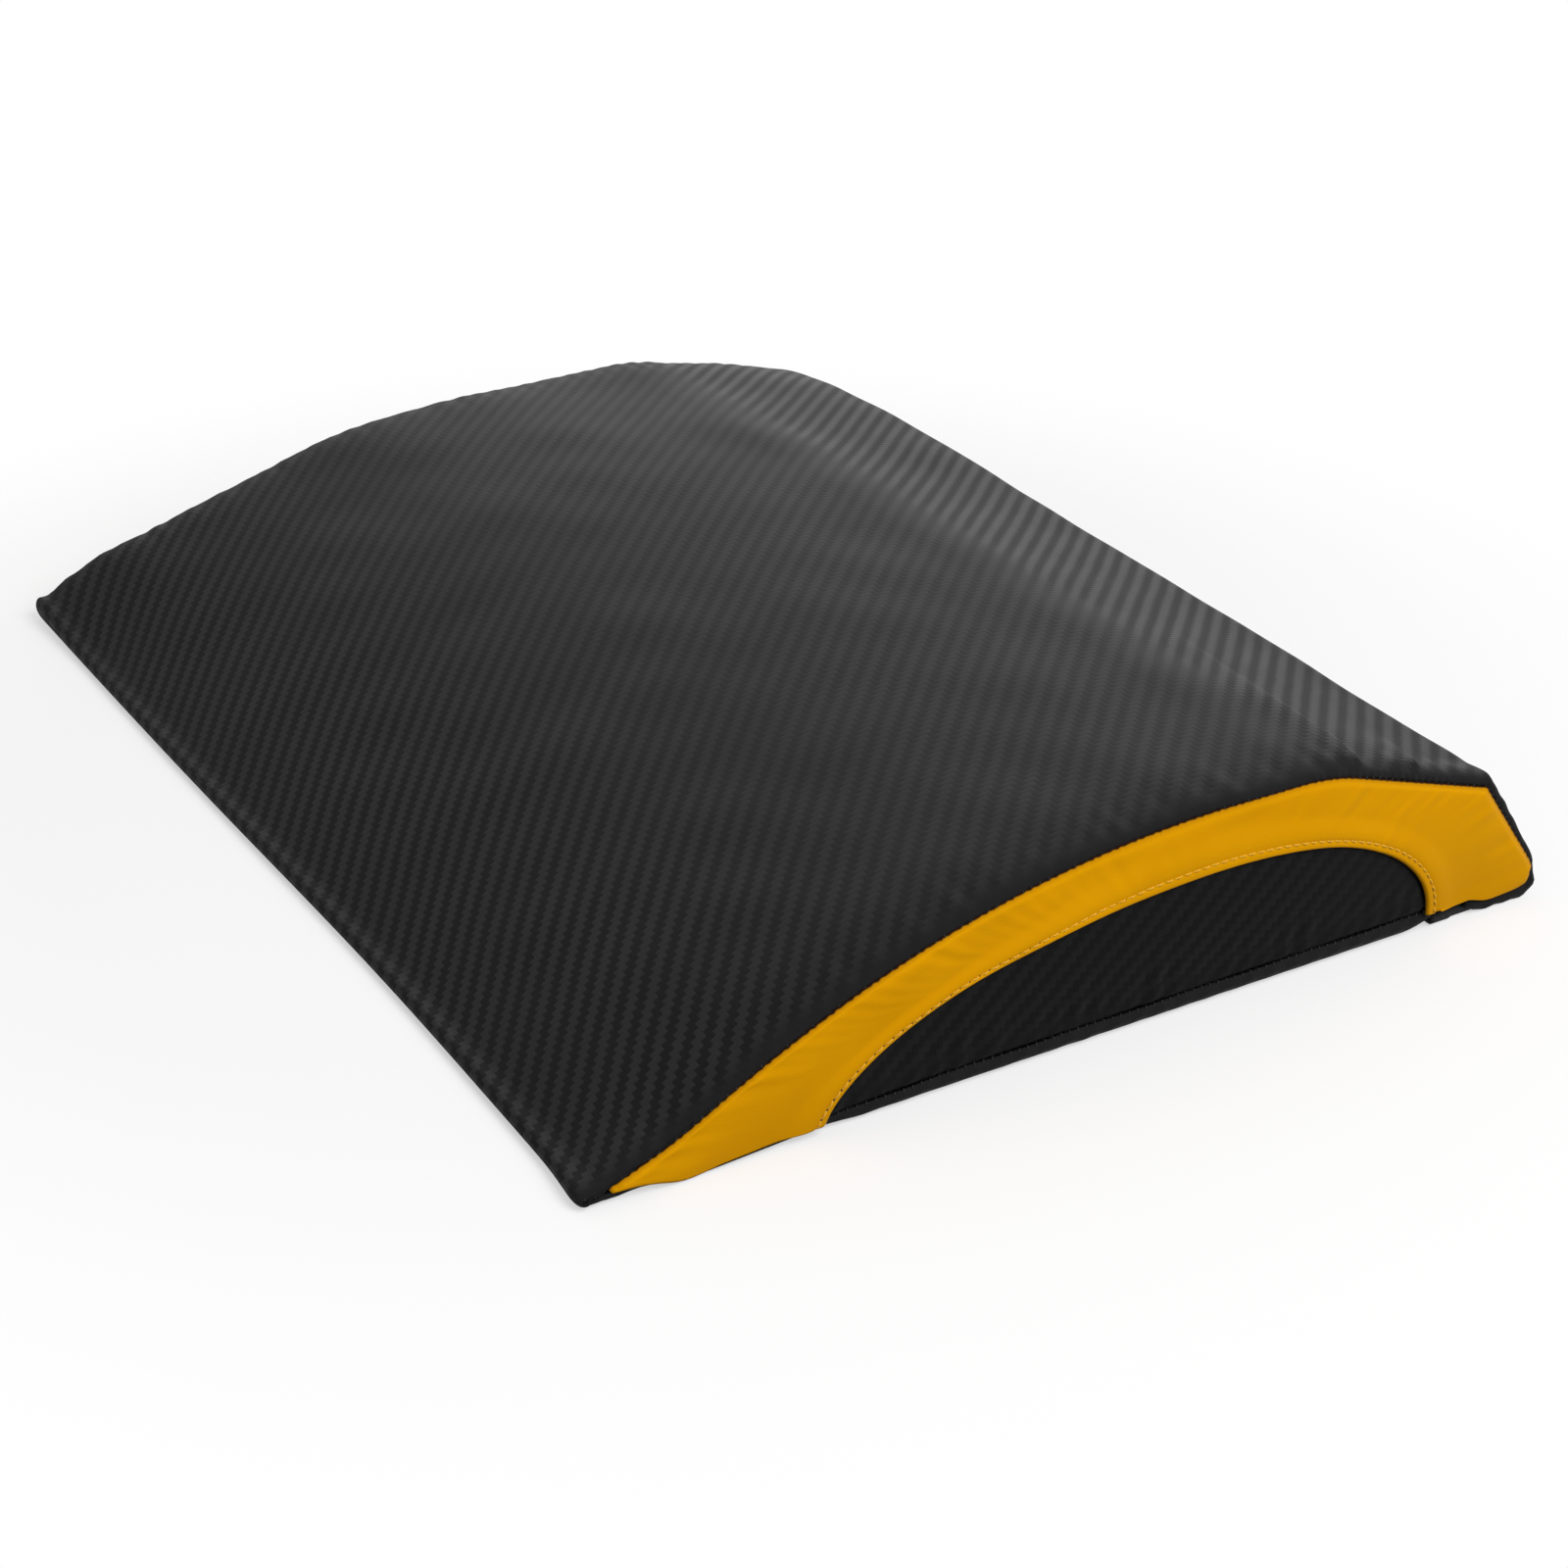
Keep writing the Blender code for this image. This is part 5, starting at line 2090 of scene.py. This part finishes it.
    def side_band(self, side: Side) -> bpy.types.Object:
        """Make the amber crescent with its hemmed inner edge and its stitches.

        Args:
            side: The side.

        Returns:
            The sheet.
        """
        grid, from_outer, from_inner = self.band_grid()
        x, z = grid[..., 0], grid[..., 1]
        place = np.broadcast_to(travelled(grid[-1]), x.shape)
        low = np.maximum(z - self.profile.lower_height(x), 0.0) + self.toe_calm * self._toe(x)
        gap = np.minimum(from_outer, low + self.foot_calm * from_outer)
        out = self.cloth.side_out(side, x, z) + self.band_seam.depth(gap, place)
        edge = np.clip(from_inner / self.hem_edge, 0.0, 1.0)
        lap = 1 - smooth_step(from_inner, self.hem_fade, self.hem_end)
        hem = self.hem * np.sqrt(1 - (1 - edge) ** 2) * lap
        out += hem - self.stitch_dip * bell(from_inner - self.stitch_inset, self.stitch_width)
        folds = self.band_folds.at(x - self.fold_lean * z)
        folds = folds * (1 - smooth_step(x, 0.0, self.fold_end))
        inside = smooth_step(from_outer, *self.fold_rise)
        out += self.fold_height * folds * inside * smooth_step(from_inner, 0.0, self.fold_fall)
        bulge = self.swell_height * self.band_swell.at(x, z)
        out += bulge * smooth_step(from_outer, 0.0, self.swell_rise)
        out += self._drag_lines(x, z)
        laid = self._standing(side, x, out, z)
        weave = np.stack([x, z, np.minimum(from_outer, from_inner + 0.001)], axis=-1)
        made = closed_sheet(side.named("side_band"), "cover", Slot.YELLOW, laid, weave,
                            self.band_vinyl, -side.value, self.finishes.yellow)
        self._topstitching(side, laid, from_inner)
        return made

    def _topstitching(self, side: Side, laid: np.ndarray, from_inner: np.ndarray) -> None:
        """Sew amber stitches along the band's inner edge, with their needle holes.

        Args:
            side: The side.
            laid: The band's finished outer face.
            from_inner: Distances from the inner edge, for the same places.
        """
        line = np.stack([along(gaps, points, np.array([self.stitch_inset]))[0]
                         for gaps, points in zip(from_inner.T, laid.transpose(1, 0, 2))])
        sewn = slice(self.stitch_skip, -self.stitch_skip)
        line = line[sewn]
        normals = grid_normals(laid)[self.stitch_row, sewn]
        normals = normals * np.sign(normals[:, 1:2] * side.value)
        # The needle holes are dark lenses of painted shade along the stitches.
        for piece, sew, finish in (
                ("band_topstitch", self.topstitch.stitches, self.finishes.amber_thread),
                ("band_needle_holes", self.topstitch.holes, self.finishes.needle_hole)):
            settle(sew(side.named(piece), line, normals, finish), Slot.YELLOW)

    def _drag_lines(self, x: np.ndarray, z: np.ndarray) -> np.ndarray:
        """Return faint slanted drag lines on the band's broad rear end.

        Args:
            x: Places along the mat.
            z: Heights in an array like x.

        Returns:
            The heights of the lines in an array like x.
        """
        move = np.zeros_like(x)
        for foot, height in self.drag_lines:
            away = (x - self.profile.front_x - foot) - (z - self.drag_foot) * self.drag_lean
            near = bell(z - self.drag_middle, self.drag_reach)
            move += height * near * bell(away, self.drag_width)
        return move


@dataclass
class FoamBlock:
    """The foam core under the cover."""

    shell: Shell
    foam: FoamSet
    finishes: Finishes
    depth: float = 0.0026
    spacing: float = 0.004
    groove: float = 0.0045
    groove_half: float = 0.013
    side_gap: float = 0.0012

    def build(self) -> bpy.types.Object:
        """Make the foam block as one closed body just inside the cover.

        Returns:
            The padded body.
        """
        profile = self.shell.profile
        arcs = np.linspace(0.0, profile.total, int(profile.total / self.spacing))[:-1]
        rows = CrossRows(5, 40)
        grid = self.foam.shaped(self.shell.surface(arcs, rows, self.depth))
        reach = profile.seam_y - self.depth - self.side_gap
        grid[..., 1] = np.clip(grid[..., 1], -reach, reach)
        groove = np.exp(-((grid[..., 0] - profile.zip_x) / self.groove_half) ** 4)
        grid[..., 2] += self.groove * groove * (arcs > profile.heel + self.depth)
        made = closed_tube("foam_core_block", grid, self.finishes.foam)
        settle(made, Slot.FOAM, "foam_core")
        return made


# Zip


@dataclass
class ZipFastener:
    """The zip under the thick end: tapes, interlocked teeth, folded ends, stops, slider, pull."""

    profile: MiddleProfile
    finishes: Finishes
    height: float = 0.0048
    tape_thickness: float = 0.0006
    tape_half: float = 0.0135
    tape_end: float = 0.1787
    tape_rows: int = 9
    tape_columns: int = 240
    wave: float = 0.00009
    wave_length: float = 0.031
    wave_seed: int = 41
    chain_half: float = 0.0028
    chain_thickness: float = 0.0019
    fit_gap: float = 0.0003
    bead: float = 0.0011
    cord_columns: int = 200
    cord_sides: int = 12
    cord_rise: float = 1.3
    pitch: float = 0.003
    neck: float = 0.0010
    neck_lap: float = 0.0003
    head: float = 0.0015
    head_round: float = 0.45
    tooth_bevel: float = 0.00018
    lane: float = 0.0011
    reach: float = 0.1617
    tab_fold: float = 0.009
    tab_layer: float = 0.0011
    tab_front: float = 0.0052
    tab_rear: float = 0.0105
    tab_tuck: float = 0.0034
    tab_sag: float = 0.0010
    tab_shrink: float = 0.0006
    tab_columns: int = 19
    tab_thinned: tuple = (0.001, 0.003)

    def build(self) -> None:
        """Build the zip's soft parts and teeth, and dress its metal."""
        self.middle = self.profile.zip_x
        for name, way in (("front", -1), ("rear", 1)):
            self.tape(name, way)
            self.teeth(name, way)
        for side in Side:
            self.tab(side)
        self.dress()

    def dress(self) -> None:
        """Enamel the metal parts, whose CAD shapes are kept."""
        for name in ("zip_start_stop", "zip_front_end_stop", "zip_rear_end_stop", "zip_slider",
                     "zip_pull"):
            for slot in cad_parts[name].material_slots:
                slot.material = self.finishes.metal
            LOG.info("%s: enamelled", name)

    def tape(self, name: str, way: int) -> None:
        """Make one woven tape, a little uneven along its length.

        Args:
            name: The tape's place.
            way: -1 for the front tape and 1 for the rear one.
        """
        across = np.linspace(self.chain_half + self.fit_gap, self.tape_half, self.tape_rows)
        y = np.linspace(-self.tape_end, self.tape_end, self.tape_columns)
        x, place = np.meshgrid(self.middle + way * across, y, indexing="ij")
        share = (np.abs(x - self.middle) - across[0]) / (across[-1] - across[0])
        wave = Ripple(self.wave_length, self.wave_seed + way).at(place) * self.wave * share
        z = self.height - self.tape_thickness / 2 + wave
        grid = np.stack([x, place, z], axis=-1)
        weave = np.stack([place, x, share], axis=-1)
        made = closed_sheet(f"zip_{name}_tape", "cloth", Slot.TAPE, grid, weave,
                            self.tape_thickness, way, self.finishes.tape)

    def _tooth(self) -> bpy.types.Object:
        """Make one tooth, neck and rounded head, that lies along X from the bead inwards.

        Returns:
            The object, which isn't in the scene.
        """
        root = self.chain_half - self.bead / 2
        shoulder = self.lane / 2 + self.head * self.head_round
        neck_end = shoulder + self.neck_lap
        round_part = [(shoulder - math.sin(angle) * self.head * self.head_round,
                       math.cos(angle) * self.head / 2)
                      for angle in np.linspace(0.0, math.pi, 9)]
        outline = [(root, self.neck / 2), (neck_end, self.neck / 2), *round_part,
                   (neck_end, -self.neck / 2), (root, -self.neck / 2)]
        shape = bmesh.new()
        half = self.chain_thickness / 2
        face = shape.faces.new([shape.verts.new((x, y, -half)) for x, y in outline])
        lifted = bmesh.ops.extrude_face_region(shape, geom=[face], use_keep_orig=True)
        moved = [item for item in lifted["geom"] if isinstance(item, bmesh.types.BMVert)]
        bmesh.ops.translate(shape, verts=moved, vec=(0.0, 0.0, self.chain_thickness))
        rims = [edge for edge in shape.edges if abs(edge.verts[0].co.z - edge.verts[1].co.z) < half]
        bmesh.ops.bevel(shape, geom=rims, offset=self.tooth_bevel, segments=1, affect="EDGES")
        bmesh.ops.recalc_face_normals(shape, faces=shape.faces)
        mesh = bpy.data.meshes.new("zip_tooth")
        shape.to_mesh(mesh)
        shape.free()
        return bpy.data.objects.new("zip_tooth", mesh)

    def teeth(self, name: str, way: int) -> None:
        """Set one row of teeth on its cord.

        Args:
            name: The row's place.
            way: -1 for the front row and 1 for the rear one.
        """
        tooth = self._tooth()
        grow = GrowthTree(f"zip_{name}_teeth", Pitch=self.pitch, Lift=0.0)
        shape = grow.add("GeometryNodeObjectInfo", {}, {"Object": tooth}, output="Geometry")
        raised = grow.add("GeometryNodeTransform", {}, {
            "Geometry": shape, "Translation": grow.vector(0.0, 0.0, grow.given("Lift"))})
        grow.repeat(raised, "Y", self.finishes.teeth)
        count = int((2 * self.reach - self.pitch) / self.pitch)
        start = -count * self.pitch / 2 + way * self.pitch / 4
        y = start + self.pitch * np.arange(count + 1)
        points = np.stack([np.full_like(y, self.middle), y[::way], np.full_like(y, self.height)],
                          axis=-1)
        made = grow.grow(f"zip_{name}_tooth_row", points, np.array([0.0, 0.0, 1.0]))
        made.data.shade_flat()
        settle(made, Slot.TEETH, f"zip_{name}_teeth")
        bpy.data.objects.remove(tooth, do_unlink=True)
        self._cord(name, way)

    def _cord(self, name: str, way: int) -> None:
        """Make the round woven cord that carries a row of teeth.

        Args:
            name: The row's place.
            way: -1 for the front row and 1 for the rear one.
        """
        y = np.linspace(-self.reach, self.reach, self.cord_columns)
        angle = np.linspace(0.0, 2 * math.pi, self.cord_sides + 1)[:-1]
        radius = self.bead / 2
        x = self.middle + way * (self.chain_half - radius) + radius * np.cos(angle)
        z = self.height + radius * self.cord_rise * np.sin(angle)
        grid = np.stack(np.broadcast_arrays(x, y[:, None], z), axis=-1)
        settle(closed_tube(f"zip_{name}_tooth_cord", grid, self.finishes.tape), Slot.TAPE)

    def tab(self, side: Side) -> None:
        """Make one folded tape end: a soft U that closes the channel under the side seam.

        Args:
            side: The side.
        """
        top = self.height - self.tape_thickness / 2 - self.fit_gap - self.tab_sag
        low = self.fit_gap
        radius = (top - low) / 2
        bend = self.profile.width / 2 - self.tab_tuck - radius
        start = self.profile.seam_y - self.tab_fold
        flat = np.linspace(start, bend, 10)[:-1]
        angle = np.linspace(math.pi / 2, -math.pi / 2, 15)
        y = np.concatenate([flat, bend + radius * np.cos(angle), flat[::-1]])
        z = np.concatenate([np.full_like(flat, top), (top + low) / 2 + radius * np.sin(angle),
                            np.full_like(flat, low)])
        across = np.linspace(-self.tab_front, self.tab_rear, self.tab_columns)
        thin = smooth_step(across, *self.tab_thinned)
        outer = (y - start) / (y.max() - start)
        place = side.value * (y[:, None] - self.tab_shrink * outer[:, None] * thin[None, :])
        grid = np.stack(np.broadcast_arrays(self.middle + across, place, z[:, None]), axis=-1)
        made = closed_sheet(f"zip_{side.named('tab')}", "cloth", Slot.TAPE, grid, grid,
                            self.tab_layer, side.value, self.finishes.tape)


# Studio


@dataclass
class Studio:
    """Pale floor, soft lamps and the camera at the photograph's viewpoint."""

    camera_place: tuple = (-0.4067, -0.6637, 0.3967)
    azimuth: float = -32.73
    pitch: float = 27.66
    roll: float = 1.80
    focal_pixels: float = 2900.0
    picture_pixels: float = 1600.0
    sensor: float = 36.0
    floor_half: float = 6.0
    floor_bounce: float = 0.3
    floor_shown: float = 0.98
    shadow_reach: float = 0.20
    white_reach: float = 0.38
    shadow_lift: float = 0.5
    world_level: float = 0.38

    def build(self) -> None:
        """Set up floor, world, lamps and camera."""
        self.floor()
        self.world()
        self.lamp("key_lamp", (0.45, -1.55, 1.7), 1.4, 42.0, gloss=False)
        self.lamp("rim_lamp", (1.25, 1.75, 0.95), 2.2, 32.0, soft=False)
        self.camera()
        bpy.context.scene.view_settings.view_transform = "Standard"

    def floor(self) -> None:
        """Lay the floor: pale where the mat's shadow falls, and plain white further out."""
        make = NodeMaker("studio_floor")
        seen = make.seen()
        make.set(Base_Color=make.mix(seen, grey(self.floor_bounce), grey(self.floor_shown)),
                 Roughness=0.9, Specular_IOR_Level=0.1)
        x, y, _ = make.parts(make.place())
        far = make.ramp((x * x + y * y) ** 0.5, self.shadow_reach, self.white_reach)
        far = far * (1.0 - self.shadow_lift) + self.shadow_lift
        glow = make.add("ShaderNodeEmission", {}, {"Color": grey(1.0)})
        shaded = Value(make, make.shader.outputs[0])
        both = make.add("ShaderNodeMixShader", {}, {0: far * seen, 1: shaded, 2: glow})
        make.feed(make.result.inputs["Surface"], both)
        half = self.floor_half
        corners = np.array([[x, y, 0.0] for x in (-half, half) for y in (-half, half)])
        add_mesh("studio_floor", corners, [(0, 2, 3, 1)], finish=make.material)

    def world(self) -> None:
        """Light the scene from all round, and show white to the camera."""
        world = bpy.data.worlds.new("studio_world")
        world.use_nodes = True
        bpy.context.scene.world = world
        make = TreeMaker(world.node_tree)
        background = world.node_tree.nodes["Background"]
        make.feed(background.inputs["Color"], grey(1.0))
        strength = make.seen() * (1.0 - self.world_level) + self.world_level
        make.feed(background.inputs["Strength"], strength)

    def lamp(self, name: str, place: tuple, size: float, power: float, soft: bool = True,
             gloss: bool = True) -> None:
        """Hang one soft lamp that faces the mat.

        Args:
            name: The lamp's name.
            place: Where it hangs.
            size: The length of its side.
            power: Its power in watts.
            soft: Whether it lights the matt part of a surface.
            gloss: Whether it shows in reflections.
        """
        light = bpy.data.lights.new(name, "AREA")
        light.shape = "SQUARE"
        light.size = size
        light.energy = power
        made = bpy.data.objects.new(name, light)
        made.location = place
        made.rotation_euler = Vector(place).to_track_quat("Z", "Y").to_euler()
        made.visible_diffuse = soft
        made.visible_glossy = gloss
        bpy.context.scene.collection.objects.link(made)

    def camera(self) -> None:
        """Set the camera up as the photograph's was."""
        data = bpy.data.cameras.new("photo_camera")
        data.sensor_width = self.sensor
        data.lens = self.focal_pixels / self.picture_pixels * self.sensor
        made = bpy.data.objects.new("photo_camera", data)
        turn = Matrix.Rotation(math.radians(self.azimuth), 3, "Z")
        tilt = Matrix.Rotation(math.radians(90 - self.pitch), 3, "X")
        lean = Matrix.Rotation(math.radians(self.roll), 3, "Z")
        made.matrix_world = Matrix.Translation(self.camera_place) @ (turn @ tilt @ lean).to_4x4()
        bpy.context.scene.collection.objects.link(made)
        bpy.context.scene.camera = made


def main() -> None:
    """Build the mat piece by piece, then the studio."""
    logging.basicConfig(level=logging.INFO, format="%(name)s: %(message)s")
    finishes = Finishes()
    profile = MiddleProfile()
    shell = Shell(profile)
    cloth = CoverCloth(shell)
    foam = FoamSet(profile)
    FoamBlock(shell, foam, finishes).build()
    cover = Cover(profile, cloth, foam, finishes)
    cover.build()
    ZipFastener(profile, finishes).build()
    Studio().build()


if __name__ == "__main__":
    main()
